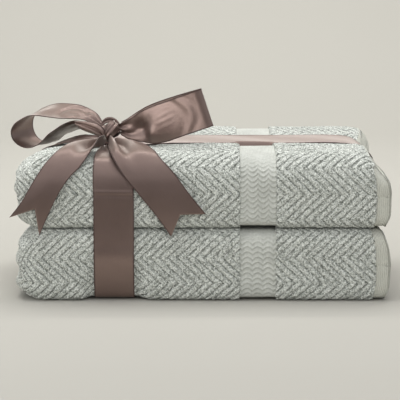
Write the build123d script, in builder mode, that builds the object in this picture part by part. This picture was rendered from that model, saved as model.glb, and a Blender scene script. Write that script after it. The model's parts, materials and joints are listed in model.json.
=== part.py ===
"""Bath towel set: two folded terry towels stacked and tied with one satin ribbon.

Frame: +X along the towels towards their hemmed ends, -Y is the front (the
folded edges), +Z up.  The origin is the centre of the resting face, z = 0.
All sizes in millimetres.
"""
import math
import os

from build123d import *

os.makedirs("parts", exist_ok=True)

# ------------------------------------------------------------------ sizes (mm)
TOWEL_LEFT = -175.0        # rounded, folded end of both towels
TERRY_RIGHT = 165.0        # terry pile stops here
HEM_GAP = 0.3
HEM_RIGHT = 177.5          # flat-woven end hem stops here
FRONT = -118.0             # tip of the front fold
BACK = 118.0
NOSE = 28.0                # depth of the rounded front fold
BACK_NOSE = 20.0
LOWER_TOP = 68.8
UPPER_BOTTOM = 69.0
UPPER_SIDE_TOP = 137.5     # where the upper front fold meets its top
LAYER_A = 23.0             # top of the bottom panel, above each towel's base
LAYER_B = 46.0             # top of the tucked panel
TUCK_FRONT = -84.0         # the tucked panel stops here inside the fold
FOLD_BACK = 98.0           # start of the rear fold
CLEAR = 0.3

DOBBY_LEFT, DOBBY_RIGHT = 38.4, 70.9
DOBBY_SINK = 2.5           # the flat border lies this far below the pile
DOBBY_THICK = 1.4
DOBBY_GAP = 1.4
HEM_SINK = 2.0             # the hem is thinner than the pile

RIBBON_W = 38.0            # 1 1/2 inch satin ribbon
RIBBON_T = 0.8
CROSS_X = -81.0            # crosswise run, centre
LENGTH_Y = 15.0            # lengthwise run, centre

KNOT = (-92.0, 6.0, 150.0)
KNOT_R = 12.4
KNOT_CLEAR = 13.8          # moving bow pieces start outside this radius
TAIL_T = 0.8
VIEW_TILT = 7.5            # the tails' outlines are laid out on a plane tilted by this

BIG = 400.0


# --------------------------------------------------------------- helper curves
def nose_points(y_flat, y_tip, z_lo, z_hi, inset=0.0, n=15, power=2.3):
    """A rounded fold from (y_flat, z_lo) round y_tip to (y_flat, z_hi)."""
    depth, half = y_tip - y_flat, (z_hi - z_lo) / 2
    mid = (z_lo + z_hi) / 2
    sign = 1 if depth > 0 else -1
    pts = []
    for i in range(n + 1):
        a = math.pi * i / n
        c, s = math.cos(a), math.sin(a)
        y = y_flat + (depth - sign * inset) * abs(s) ** (2 / power)
        z = mid - (half - inset) * math.copysign(abs(c) ** (2 / power), c)
        pts.append((y, z))
    pts[0] = (y_flat, z_lo + inset)
    pts[-1] = (y_flat, z_hi - inset)
    return pts


def lower_outline(inset=0.0):
    """Closed end-on outline of the lower towel, drawn in the current BuildLine."""
    front = nose_points(FRONT + NOSE, FRONT, 0, LOWER_TOP, inset)
    back = nose_points(FOLD_BACK, BACK, 0, LOWER_TOP, inset)
    Spline(*front, tangents=((-1, 0), (1, 0)))
    Line(front[-1], back[-1])
    Spline(*back, tangents=((1, 0), (-1, 0)))
    Line(back[0], front[0])


UPPER_TOP = [(-90, 137.5), (-60, 139), (-25, 137.6), (0, 136.3), (15, 136), (32, 136.6), (60, 139), (85, 140.5), (98, 139.8)]


def upper_outline(inset=0.0):
    """Closed end-on outline of the upper towel: its top dips under the ribbon."""
    front = nose_points(FRONT + NOSE, FRONT, UPPER_BOTTOM, UPPER_TOP[0][1], inset)
    back = nose_points(FOLD_BACK, BACK, UPPER_BOTTOM, UPPER_TOP[-1][1], inset)
    top = [(y, z - inset) for y, z in UPPER_TOP]
    Spline(*front, tangents=((-1, 0), (1, 0)))
    Spline(*top, tangents=((1, 0), (1, 0)))
    Spline(*back, tangents=((1, 0), (-1, 0)))
    Line(back[0], front[0])


def end_outline(z_lo, z_hi, x_right, corner):
    """Side view of a towel: round folded end at the left, squarer at the right."""
    left = nose_points(-141, TOWEL_LEFT, z_lo, z_hi, 0.0, 13, 2.0)
    Spline(*left, tangents=((-1, 0), (1, 0)))
    Line(left[-1], (x_right - corner, z_hi))
    TangentArc((x_right - corner, z_hi), (x_right, z_hi - corner), tangent=(1, 0))
    Line((x_right, z_hi - corner), (x_right, z_lo + corner))
    TangentArc((x_right, z_lo + corner), (x_right - corner, z_lo), tangent=(0, -1))
    Line((x_right - corner, z_lo), left[0])


def shifted(points, d):
    """Open run of points moved inwards by d, with the ends kept level."""
    out = []
    last = len(points) - 1
    for i, (a, b) in enumerate(points):
        p, q = points[max(i - 1, 0)], points[min(i + 1, last)]
        tx, tz = q[0] - p[0], q[1] - p[1]
        if i in (0, last):
            tx, tz = (points[0][0] - points[1][0], 0) if i == 0 else (points[last][0] - points[last - 1][0], 0)
            out.append((a, b + d))
            continue
        ln = math.hypot(tx, tz)
        out.append((a + d * tz / ln, b - d * tx / ln))
    return out


# outer face of the crosswise ribbon run, as (y, z), from the bottom up the
# front, over the top and down the back
CROSS_BASE = 1.1
CROSS_RUN = [(-84, CROSS_BASE), (-95, 2.2), (-104, 5.8), (-114, 16), (-117.3, 33), (-116, 50), (-112.6, 69), (-116, 87),
             (-117.3, 103), (-113.5, 120), (-104, 131), (-88, 135.6), (-60, 136.2), (-25, 135.6), (-4, 135.4), (15, 135.4), (34, 135.4),
             (58, 136.6), (84, 138), (103, 134.5), (113, 125), (117, 106), (115, 88), (111, 69), (115, 50),
             (116.5, 33), (113, 15), (104, 5.2), (96, 2.0), (86, CROSS_BASE)]

# outer face of the lengthwise run, as (x, z), from the bottom up the left end,
# along the top and down the hemmed end
LENGTH_RUN = [(-138, 0), (-148, 1.2), (-158, 4.6), (-168, 14), (-173.2, 33), (-171, 52), (-166, 69), (-171, 86), (-173.2, 102),
              (-168.5, 119), (-157, 131.5), (-138, 136.7), (-110, 137), (-60, 137), (0, 137), (80, 137), (140, 137), (161, 133.8), (171, 126),
              (175.4, 110), (175.8, 92), (173.5, 69), (175.8, 46), (175.4, 24), (171, 9), (163, 3.2), (155, 0.9), (146, 0)]


def run_outline(points, d):
    """Closed outline of a ribbon run moved inwards by d."""
    pts = shifted(points, d)
    Spline(*pts)
    Line(pts[-1], pts[0])


def layer_slot(base, grow):
    """End-on outline of the tucked panel and its rear fold, grown by grow."""
    a, b = base + LAYER_A + CLEAR / 2, base + LAYER_B - CLEAR / 2
    Polyline(
        (TUCK_FRONT - grow, a - grow), (FOLD_BACK - grow, a - grow), (FOLD_BACK - grow, base - 2),
        (BACK + 5, base - 2), (BACK + 5, b + grow), (TUCK_FRONT - grow, b + grow), close=True)


# The ribbon presses a groove into both towels: everything outside these runs is
# cut away over the ribbon's width.
with BuildPart() as cross_groove:
    with BuildSketch(Plane.YZ.offset(CROSS_X - RIBBON_W / 2 - CLEAR)):
        Rectangle(BIG, BIG)
        with BuildLine():
            run_outline(CROSS_RUN, RIBBON_T + CLEAR)
        make_face(mode=Mode.SUBTRACT)
    extrude(amount=RIBBON_W + 2 * CLEAR)

with BuildPart() as length_groove:
    with BuildSketch(Plane.XZ.offset(-(LENGTH_Y + RIBBON_W / 2 + CLEAR))):
        Rectangle(2 * BIG, BIG)
        with BuildLine():
            run_outline(LENGTH_RUN, RIBBON_T + CLEAR)
        make_face(mode=Mode.SUBTRACT)
    extrude(amount=RIBBON_W + 2 * CLEAR)

# ================================================================ lower towel
with BuildPart() as lower_wrap:
    with BuildSketch(Plane.YZ.offset(TOWEL_LEFT)):
        with BuildLine():
            lower_outline()
        make_face()
    extrude(amount=TERRY_RIGHT - TOWEL_LEFT)
    with BuildSketch(Plane.YZ.offset(TOWEL_LEFT - 5)):
        with BuildLine():
            layer_slot(0, CLEAR)
        make_face()
    extrude(amount=BIG, mode=Mode.SUBTRACT)
    with BuildSketch(Plane.YZ.offset(DOBBY_LEFT - CLEAR)):
        Rectangle(BIG, BIG)
        with BuildLine():
            lower_outline(DOBBY_SINK + DOBBY_THICK + DOBBY_GAP)
        make_face(mode=Mode.SUBTRACT)
    extrude(amount=DOBBY_RIGHT - DOBBY_LEFT + 2 * CLEAR, mode=Mode.SUBTRACT)
    with BuildSketch(Plane.XZ):
        with BuildLine():
            end_outline(0, LOWER_TOP, TERRY_RIGHT, 6)
        make_face()
    extrude(amount=BIG, both=True, mode=Mode.INTERSECT)
    add(cross_groove.part, mode=Mode.SUBTRACT)
    add(length_groove.part, mode=Mode.SUBTRACT)
lower_wrap.part.label = "lower_towel_outer_wrap"

with BuildPart() as lower_tuck:
    with BuildSketch(Plane.YZ.offset(TOWEL_LEFT)):
        with BuildLine():
            lower_outline()
        make_face()
    extrude(amount=TERRY_RIGHT - TOWEL_LEFT)
    with BuildSketch(Plane.YZ.offset(TOWEL_LEFT - 5)):
        with BuildLine():
            layer_slot(0, 0)
        make_face()
    extrude(amount=BIG, mode=Mode.INTERSECT)
    with BuildSketch(Plane.YZ.offset(DOBBY_LEFT - CLEAR)):
        Rectangle(BIG, BIG)
        with BuildLine():
            lower_outline(DOBBY_SINK + DOBBY_THICK + DOBBY_GAP)
        make_face(mode=Mode.SUBTRACT)
    extrude(amount=DOBBY_RIGHT - DOBBY_LEFT + 2 * CLEAR, mode=Mode.SUBTRACT)
    with BuildSketch(Plane.XZ):
        with BuildLine():
            end_outline(0, LOWER_TOP, TERRY_RIGHT, 6)
        make_face()
    extrude(amount=BIG, both=True, mode=Mode.INTERSECT)
    add(cross_groove.part, mode=Mode.SUBTRACT)
    add(length_groove.part, mode=Mode.SUBTRACT)
lower_tuck.part.label = "lower_towel_tucked_panel"

with BuildPart() as lower_dobby:
    with BuildSketch(Plane.YZ.offset(DOBBY_LEFT)):
        with BuildLine():
            lower_outline(DOBBY_SINK)
        make_face()
        with BuildLine():
            lower_outline(DOBBY_SINK + DOBBY_THICK)
        make_face(mode=Mode.SUBTRACT)
    extrude(amount=DOBBY_RIGHT - DOBBY_LEFT)
lower_dobby.part.label = "lower_towel_dobby_border"

with BuildPart() as lower_hem:
    with BuildSketch(Plane.YZ.offset(TERRY_RIGHT + HEM_GAP)):
        with BuildLine():
            lower_outline(HEM_SINK)
        make_face()
        with Locations((20, LAYER_A)):
            Rectangle(2 * (BACK - 20) + 8, 0.5, mode=Mode.SUBTRACT)
        with Locations((20, LAYER_B)):
            Rectangle(2 * (BACK - 20) + 8, 0.5, mode=Mode.SUBTRACT)
    extrude(amount=HEM_RIGHT - TERRY_RIGHT - HEM_GAP)
    with BuildSketch(Plane.XZ):
        with BuildLine():
            end_outline(HEM_SINK, LOWER_TOP - HEM_SINK, HEM_RIGHT, 5)
        make_face()
    extrude(amount=BIG, both=True, mode=Mode.INTERSECT)
    add(cross_groove.part, mode=Mode.SUBTRACT)
    add(length_groove.part, mode=Mode.SUBTRACT)
lower_hem.part.label = "lower_towel_end_hem"

# ================================================================ upper towel
UPPER_HIGH = 140.6
with BuildPart() as upper_wrap:
    with BuildSketch(Plane.YZ.offset(TOWEL_LEFT)):
        with BuildLine():
            upper_outline()
        make_face()
    extrude(amount=TERRY_RIGHT - TOWEL_LEFT)
    with BuildSketch(Plane.YZ.offset(TOWEL_LEFT - 5)):
        with BuildLine():
            layer_slot(UPPER_BOTTOM, CLEAR)
        make_face()
    extrude(amount=BIG, mode=Mode.SUBTRACT)
    with BuildSketch(Plane.YZ.offset(DOBBY_LEFT - CLEAR)):
        Rectangle(BIG, BIG)
        with BuildLine():
            upper_outline(DOBBY_SINK + DOBBY_THICK + DOBBY_GAP)
        make_face(mode=Mode.SUBTRACT)
    extrude(amount=DOBBY_RIGHT - DOBBY_LEFT + 2 * CLEAR, mode=Mode.SUBTRACT)
    with BuildSketch(Plane.XZ):
        with BuildLine():
            end_outline(UPPER_BOTTOM, UPPER_HIGH, TERRY_RIGHT, 9)
        make_face()
    extrude(amount=BIG, both=True, mode=Mode.INTERSECT)
    add(cross_groove.part, mode=Mode.SUBTRACT)
    add(length_groove.part, mode=Mode.SUBTRACT)
upper_wrap.part.label = "upper_towel_outer_wrap"

with BuildPart() as upper_tuck:
    with BuildSketch(Plane.YZ.offset(TOWEL_LEFT)):
        with BuildLine():
            upper_outline()
        make_face()
    extrude(amount=TERRY_RIGHT - TOWEL_LEFT)
    with BuildSketch(Plane.YZ.offset(TOWEL_LEFT - 5)):
        with BuildLine():
            layer_slot(UPPER_BOTTOM, 0)
        make_face()
    extrude(amount=BIG, mode=Mode.INTERSECT)
    with BuildSketch(Plane.YZ.offset(DOBBY_LEFT - CLEAR)):
        Rectangle(BIG, BIG)
        with BuildLine():
            upper_outline(DOBBY_SINK + DOBBY_THICK + DOBBY_GAP)
        make_face(mode=Mode.SUBTRACT)
    extrude(amount=DOBBY_RIGHT - DOBBY_LEFT + 2 * CLEAR, mode=Mode.SUBTRACT)
    with BuildSketch(Plane.XZ):
        with BuildLine():
            end_outline(UPPER_BOTTOM, UPPER_HIGH, TERRY_RIGHT, 9)
        make_face()
    extrude(amount=BIG, both=True, mode=Mode.INTERSECT)
    add(cross_groove.part, mode=Mode.SUBTRACT)
    add(length_groove.part, mode=Mode.SUBTRACT)
upper_tuck.part.label = "upper_towel_tucked_panel"

with BuildPart() as upper_dobby:
    with BuildSketch(Plane.YZ.offset(DOBBY_LEFT)):
        with BuildLine():
            upper_outline(DOBBY_SINK)
        make_face()
        with BuildLine():
            upper_outline(DOBBY_SINK + DOBBY_THICK)
        make_face(mode=Mode.SUBTRACT)
    extrude(amount=DOBBY_RIGHT - DOBBY_LEFT)
upper_dobby.part.label = "upper_towel_dobby_border"

with BuildPart() as upper_hem:
    with BuildSketch(Plane.YZ.offset(TERRY_RIGHT + HEM_GAP)):
        with BuildLine():
            upper_outline(HEM_SINK)
        make_face()
        with Locations((20, UPPER_BOTTOM + LAYER_A)):
            Rectangle(2 * (BACK - 20) + 8, 0.5, mode=Mode.SUBTRACT)
        with Locations((20, UPPER_BOTTOM + LAYER_B)):
            Rectangle(2 * (BACK - 20) + 8, 0.5, mode=Mode.SUBTRACT)
    extrude(amount=HEM_RIGHT - TERRY_RIGHT - HEM_GAP)
    with BuildSketch(Plane.XZ):
        with BuildLine():
            end_outline(UPPER_BOTTOM + HEM_SINK, UPPER_HIGH - HEM_SINK, HEM_RIGHT, 8)
        make_face()
    extrude(amount=BIG, both=True, mode=Mode.INTERSECT)
    add(cross_groove.part, mode=Mode.SUBTRACT)
    add(length_groove.part, mode=Mode.SUBTRACT)
upper_hem.part.label = "upper_towel_end_hem"

# ============================================================== ribbon, tied on
with BuildPart() as cross_band:
    with BuildSketch(Plane.YZ.offset(CROSS_X - RIBBON_W / 2)):
        with BuildLine():
            run_outline(CROSS_RUN, 0)
        make_face()
        with BuildLine():
            run_outline(CROSS_RUN, RIBBON_T)
        make_face(mode=Mode.SUBTRACT)
    extrude(amount=RIBBON_W)
cross_band.part.label = "ribbon_cross_band"

with BuildPart() as length_band:
    with BuildSketch(Plane.XZ.offset(-(LENGTH_Y + RIBBON_W / 2))):
        with BuildLine():
            run_outline(LENGTH_RUN, 0)
        make_face()
        with BuildLine():
            run_outline(LENGTH_RUN, RIBBON_T)
        make_face(mode=Mode.SUBTRACT)
    extrude(amount=RIBBON_W)
length_band.part.label = "ribbon_length_band"

def strip_sections(edge_a, edge_b, per_span=2):
    """Thin rectangles across a ribbon strip, ready to loft from end to end.

    edge_a and edge_b are matching points along its two edges.
    """
    def smooth(points):
        out = []
        last = len(points) - 1
        for i in range(last):
            p0, p1, p2, p3 = points[max(i - 1, 0)], points[i], points[i + 1], points[min(i + 2, last)]
            for k in range(per_span):
                t = k / per_span
                out.append((p1 * 2 + (p2 - p0) * t + (p0 * 2 - p1 * 5 + p2 * 4 - p3) * t ** 2
                            + (p1 * 3 - p0 - p2 * 3 + p3) * t ** 3) * 0.5)
        return out + [points[last]]
    a, b = smooth(edge_a), smooth(edge_b)
    faces = []
    for i in range(len(a)):
        lo, hi = max(i - 1, 0), min(i + 1, len(a) - 1)
        along = (a[hi] + b[hi] - a[lo] - b[lo]).normalized()
        n = along.cross((b[i] - a[i]).normalized()).normalized() * (RIBBON_T / 2)
        faces.append(Face(Wire.make_polygon([a[i] - n, b[i] - n, b[i] + n, a[i] + n], close=True)))
    return faces


# The knot: a gathered core with one turn of ribbon wrapped over it.
with BuildPart() as knot:
    with BuildSketch(Plane(origin=KNOT, x_dir=(-0.809, 0.588, 0), z_dir=(0.588, 0.809, 0))):
        with BuildLine():
            Polyline((-10.5, 0), (-10.5, 5.2))
            Spline((-10.5, 5.2), (-7.6, 8.6), (-5.2, 9.6))
            Spline((-5.2, 9.6), (-4.0, 11.7), (0, KNOT_R), (4.0, 11.7), (5.2, 9.6))
            Spline((5.2, 9.6), (7.6, 8.6), (10.5, 5.2))
            Polyline((10.5, 5.2), (10.5, 0), (-10.5, 0))
        make_face()
    revolve(axis=Axis(KNOT, (-0.809, 0.588, 0)), revolution_arc=360)
knot.part.label = "bow_knot"

# Loops are strips given by stations along their middle line: where the middle
# is, and how far each edge stands from it along the ribbon's width.
YAW = math.radians(36.0)
TILT = math.radians(7.0)
LEFT_OUT = Vector(-math.cos(YAW), math.sin(YAW), 0)
LEFT_ACROSS = Vector(math.sin(YAW) * math.cos(TILT), math.cos(YAW) * math.cos(TILT), math.sin(TILT))
LEFT_UP = LEFT_ACROSS.cross(LEFT_OUT).normalized()
if LEFT_UP.Z < 0:
    LEFT_UP = LEFT_UP * -1
LEFT_STATIONS = [  # out, up, near half width, far half width
    (14.6, 7.0, 1.5, 9), (24, 13, 8, 14), (36, 17.5, 15, 18), (52, 20, 19, 19), (67, 20.5, 19, 19), (83, 19.5, 19, 19),
    (96, 16.5, 19, 19), (105.5, 11.5, 19, 19), (112.5, 5, 19, 19), (116, -2.5, 19, 19), (115, -8.5, 19, 19),
    (110, -12.4, 19, 19), (102, -13.8, 19, 19), (92, -12.2, 19, 19), (82, -8.8, 19, 19), (72.5, -5.4, 19, 19),
    (64.5, -2.6, 19, 19), (56, 0.0, 19, 17), (45, 2.3, 17, 12), (33, 3.6, 13, 7), (22, 3.0, 8, 3), (15, 0.8, 5, 1)]

left_near, left_far = [], []
for out, up, near, far in LEFT_STATIONS:
    mid = Vector(*KNOT) + LEFT_OUT * out + LEFT_UP * up
    left_near.append(mid - LEFT_ACROSS * near)
    left_far.append(mid + LEFT_ACROSS * far)

with BuildPart() as loop_left:
    loft(strip_sections(left_near, left_far), ruled=True)
loop_left.part.label = "bow_loop_left"

# The right loop stands on edge: a front strand, a tight fold at its far end and
# a rear strand.  Stations: middle point, lower and upper half widths.
RIGHT_WIDE = Vector(-0.31, 0, 0.95).normalized()
RIGHT_STATIONS = [
    ((-78.6, 0.0, 153.0), 3.5, 5), ((-71.0, -7.0, 154.0), 6, 8), ((-60.4, -18.0, 155.6), 11.5, 13), ((-49.2, -28.0, 158.8), 16, 17),
    ((-37.7, -36.5, 162.4), 18, 18.5), ((-26.3, -44.5, 166.6), 19, 19), ((-15.5, -52.0, 170.9), 19, 19),
    ((-4.8, -58.5, 175.0), 19, 19), ((3.2, -62.0, 178.0), 19, 19), ((6.6, -60.6, 179.2), 19, 19), ((6.8, -57.0, 179.2), 19, 19),
    ((1.5, -51.0, 177.4), 19, 19), ((-8.0, -42.5, 174.2), 19, 19), ((-20.0, -32.0, 170.0), 19, 19), ((-33.0, -21.5, 165.5), 18.5, 18.5),
    ((-47.0, -11.0, 160.8), 16, 17), ((-60.0, -3.0, 157.2), 11, 13), ((-70.5, 4.0, 155.2), 6.5, 8), ((-77.6, 9.5, 154.0), 4, 5)]
right_low, right_high = [], []
for mid, low, high in RIGHT_STATIONS:
    right_low.append(Vector(*mid) - RIGHT_WIDE * low)
    right_high.append(Vector(*mid) + RIGHT_WIDE * high)

with BuildPart() as loop_right:
    loft(strip_sections(right_low, right_high), ruled=True)
loop_right.part.label = "bow_loop_right"

# The tails hang from under the knot over the upper towel's front fold.  Their
# run is one side profile; each outline is cut on a plane tilted by VIEW_TILT.
TAIL_RUN = [(-2, 139.3), (-12, 141.2), (-25, 142.6), (-45, 143.2), (-70, 142.8), (-88, 141.2), (-102, 137.8),
            (-112.2, 130.2), (-118.2, 118), (-120.6, 104), (-121.2, 90), (-121.2, 75), (-121.2, 40)]
TAIL_PLANE = Plane(origin=(0, 0, 0), x_dir=(1, 0, 0),
                   z_dir=(0, -math.cos(math.radians(VIEW_TILT)), math.sin(math.radians(VIEW_TILT))))
LEFT_TAIL = [(-95.5, 138.6), (-101.6, 136.6), (-112.4, 134.5), (-124.5, 131.0), (-132.7, 126.2), (-138.2, 121.2), (-147.9, 106.9),
             (-157.9, 91.3), (-167.3, 78.1), (-178.2, 64.1), (-154.2, 72.2), (-150.5, 46.7), (-142.5, 65.0), (-131.7, 86.3),
             (-121.6, 100.3), (-106.1, 115.4), (-100.5, 126.2), (-98.0, 133.9), (-91.8, 138.6)]
RIGHT_TAIL = [(-90.4, 138.6), (-88.9, 136.4), (-86.3, 129.0), (-82.5, 117.7), (-74.2, 105.9), (-59.8, 88.7), (-48.0, 74.1),
              (-38.7, 62.4), (-27.0, 46.0), (-18.4, 67.0), (5.6, 67.4), (-8.6, 84.7), (-24.3, 105.7), (-39.0, 120.4),
              (-48.9, 129.0), (-60.2, 135.1), (-74.6, 137.2), (-84.0, 138.6)]


def tail_shell():
    """The tails' side profile, RIBBON_T thick, drawn in the current BuildLine."""
    inner = TAIL_RUN
    outer = []
    last = len(inner) - 1
    for i, (y, z) in enumerate(inner):
        p, q = inner[max(i - 1, 0)], inner[min(i + 1, last)]
        ty, tz = q[0] - p[0], q[1] - p[1]
        ln = math.hypot(ty, tz)
        outer.append((y + TAIL_T * tz / ln, z - TAIL_T * ty / ln))
    Spline(*inner)
    Line(inner[-1], outer[-1])
    Spline(*outer)
    Line(outer[0], inner[0])


with BuildPart() as tail_left:
    with BuildSketch(Plane.YZ.offset(-190)):
        with BuildLine():
            tail_shell()
        make_face()
    extrude(amount=110)
    with BuildSketch(TAIL_PLANE):
        with BuildLine():
            Polyline(*LEFT_TAIL, close=True)
        make_face()
    extrude(amount=BIG, both=True, mode=Mode.INTERSECT)
    with Locations(KNOT):
        Sphere(KNOT_CLEAR, mode=Mode.SUBTRACT)
tail_left.part.label = "bow_tail_left"

with BuildPart() as tail_right:
    with BuildSketch(Plane.YZ.offset(-95)):
        with BuildLine():
            tail_shell()
        make_face()
    extrude(amount=110)
    with BuildSketch(TAIL_PLANE):
        with BuildLine():
            Polyline(*RIGHT_TAIL, close=True)
        make_face()
    extrude(amount=BIG, both=True, mode=Mode.INTERSECT)
    with Locations(KNOT):
        Sphere(KNOT_CLEAR, mode=Mode.SUBTRACT)
tail_right.part.label = "bow_tail_right"

# ------------------------------------------------------------------- write out
PIECES = [lower_wrap, lower_tuck, lower_dobby, lower_hem, upper_wrap, upper_tuck, upper_dobby, upper_hem,
          cross_band, length_band, knot, loop_left, loop_right, tail_left, tail_right]
for piece in PIECES:
    export_step(piece.part, "parts/" + piece.part.label + ".step")
    box = piece.part.bounding_box()
    print(f"{piece.part.label:28s} solids {len(piece.part.solids())} volume {piece.part.volume:10.1f} "
          f"x {box.min.X:7.1f}..{box.max.X:6.1f} y {box.min.Y:7.1f}..{box.max.Y:6.1f} z {box.min.Z:6.1f}..{box.max.Z:6.1f}")
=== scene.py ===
"""Looks of the bath towel set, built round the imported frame.  All work is in millimetres
until a mesh is made, in the row frame: +X along the towels, -Y the front, +Z up."""
import json
import math

import bpy
import numpy as np
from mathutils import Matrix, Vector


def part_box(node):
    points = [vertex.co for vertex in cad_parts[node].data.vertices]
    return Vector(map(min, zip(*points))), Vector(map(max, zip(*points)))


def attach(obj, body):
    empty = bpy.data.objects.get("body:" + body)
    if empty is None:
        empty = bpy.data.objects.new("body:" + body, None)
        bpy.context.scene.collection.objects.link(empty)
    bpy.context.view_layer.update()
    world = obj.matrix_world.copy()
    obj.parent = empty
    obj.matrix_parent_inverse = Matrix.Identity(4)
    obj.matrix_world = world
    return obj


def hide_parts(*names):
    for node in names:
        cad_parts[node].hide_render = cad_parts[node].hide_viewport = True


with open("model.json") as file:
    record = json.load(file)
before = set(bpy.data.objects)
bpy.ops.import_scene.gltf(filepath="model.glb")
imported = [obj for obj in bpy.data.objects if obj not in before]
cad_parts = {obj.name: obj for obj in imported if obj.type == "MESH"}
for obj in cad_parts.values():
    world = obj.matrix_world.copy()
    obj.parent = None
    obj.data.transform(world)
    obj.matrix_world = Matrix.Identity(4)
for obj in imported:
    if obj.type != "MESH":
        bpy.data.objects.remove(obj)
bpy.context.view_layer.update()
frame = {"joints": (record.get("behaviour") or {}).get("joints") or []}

# ------------------------------------------------------------------ numbers from the frame
MM = 1000.0


def box_mm(node):
    lo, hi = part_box(node)
    return np.array(lo) * MM, np.array(hi) * MM


W_LO, W_HI = box_mm("upper_towel_outer_wrap")
L_LO, L_HI = box_mm("lower_towel_outer_wrap")
H_LO, H_HI = box_mm("upper_towel_end_hem")
D_LO, D_HI = box_mm("upper_towel_dobby_border")
LEFT, TERRY_END, HEM_END = W_LO[0], H_LO[0], H_HI[0]
FRONT, BACK = W_LO[1], W_HI[1]
UP_Z = W_LO[2]
DOB_A, DOB_B = D_LO[0], D_HI[0]
PIVOT = np.array([float(v) * MM for v in frame["joints"][0]["pos_m"]])
PLY = 23.0
TALL = 69.0
PITCH, HALF, SWING = 8.5, 24.5, 13.0        # terry chevron ribs
CROSS_X, LENGTH_Y, RIB_W = -81.0, 15.0, 38.0

CROSS_RUN = [(-84, 1.0), (-99, 1.2), (-108, 2.6), (-112.4, 10.5), (-119.3, 39), (-119.0, 54), (-118.6, 69), (-118.3, 87),
             (-118.0, 102), (-113.9, 120), (-104, 131), (-88, 135.6), (-60, 136.2), (-25, 135.6), (-4, 135.4),
             (15, 135.4), (34, 135.4), (58, 136.6), (84, 138), (103, 134.5), (113, 125), (117, 106), (115, 88),
             (111, 69), (115, 50), (116.5, 33), (113, 15), (104, 5.2), (96, 2.0), (86, 1.1)]
LENGTH_RUN = [(-138, 0.3), (-148, 1.3), (-158, 4.7), (-168, 14), (-173.2, 33), (-171, 52), (-166, 69), (-171, 86),
              (-173.2, 102), (-168.5, 119), (-157, 131.5), (-138, 136.7), (-110, 137), (-60, 137), (0, 137),
              (80, 137), (140, 137), (161, 133.8), (171, 126), (175.4, 110), (175.8, 92), (173.5, 69), (175.8, 46),
              (175.4, 24), (171, 9), (163, 3.2), (155, 0.9), (146, 0.3)]
TAIL_RUN = [(-2, 139.3), (-12, 141.2), (-25, 142.6), (-45, 143.2), (-70, 142.8), (-88, 141.2), (-102, 137.8),
            (-112.2, 130.2), (-118.2, 118), (-120.8, 104), (-121.6, 90), (-121.8, 75), (-121.8, 40)]


# ------------------------------------------------------------------ small tools
def smooth(a, b, x):
    t = np.clip((np.asarray(x, float) - a) / (b - a), 0, 1)
    return t * t * (3 - 2 * t)


def hashed(ix, iy, iz, seed):
    n = (ix.astype(np.int64) * 374761393 + iy.astype(np.int64) * 668265263
         + iz.astype(np.int64) * 1440662683 + seed * 1274126177) & 0xFFFFFFFF
    n = ((n ^ (n >> 13)) * 1274126177) & 0xFFFFFFFF
    n = ((n ^ (n >> 15)) * 2246822519) & 0xFFFFFFFF
    return ((n ^ (n >> 16)) & 0xFFFF) / 32767.5 - 1.0


def noise(p, size, seed):
    """Smooth value noise from -1 to 1, with features of that size."""
    q = np.asarray(p, float) / size
    i = np.floor(q)
    f = q - i
    f = f * f * (3 - 2 * f)
    out = 0
    for a in (0, 1):
        for b in (0, 1):
            for c in (0, 1):
                w = ((f[..., 0] if a else 1 - f[..., 0]) * (f[..., 1] if b else 1 - f[..., 1])
                     * (f[..., 2] if c else 1 - f[..., 2]))
                out = out + w * hashed(i[..., 0] + a, i[..., 1] + b, i[..., 2] + c, seed)
    return out


def spline(points, count, closed=False):
    """Points spaced evenly along a smooth curve through the given ones (any dimension)."""
    p = np.asarray(points, float)
    n = len(p)
    if closed:
        q = np.vstack([p[-1], p, p[0], p[1]])
        segs = n
    else:
        q = np.vstack([2 * p[0] - p[1], p, 2 * p[-1] - p[-2]])
        segs = n - 1
    fine = []
    t = np.linspace(0, 1, 24, endpoint=False)[:, None]
    for i in range(segs):
        a, b, c, d = q[i], q[i + 1], q[i + 2], q[i + 3]
        # centripetal weights keep tight corners from overshooting
        d1, d2, d3 = (max(np.linalg.norm(v), 1e-6) ** 0.5 for v in (b - a, c - b, d - c))
        m1 = (c - b) / d2 - (c - a) / (d1 + d2) + (b - a) / d1
        m2 = (d - c) / d3 - (d - b) / (d2 + d3) + (c - b) / d2
        m1, m2 = m1 * d2, m2 * d2
        fine.append((2 * t ** 3 - 3 * t ** 2 + 1) * b + (t ** 3 - 2 * t ** 2 + t) * m1
                    + (-2 * t ** 3 + 3 * t ** 2) * c + (t ** 3 - t ** 2) * m2)
    fine = np.vstack(fine)
    fine = np.vstack([fine, fine[:1] if closed else p[-1:]])
    s = np.concatenate([[0], np.cumsum(np.linalg.norm(np.diff(fine, axis=0), axis=1))])
    want = np.linspace(0, s[-1], count, endpoint=not closed)
    return np.stack([np.interp(want, s, fine[:, k]) for k in range(p.shape[1])], 1), s[-1]


def unit(v):
    return v / np.maximum(np.linalg.norm(v, axis=-1, keepdims=True), 1e-9)


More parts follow.
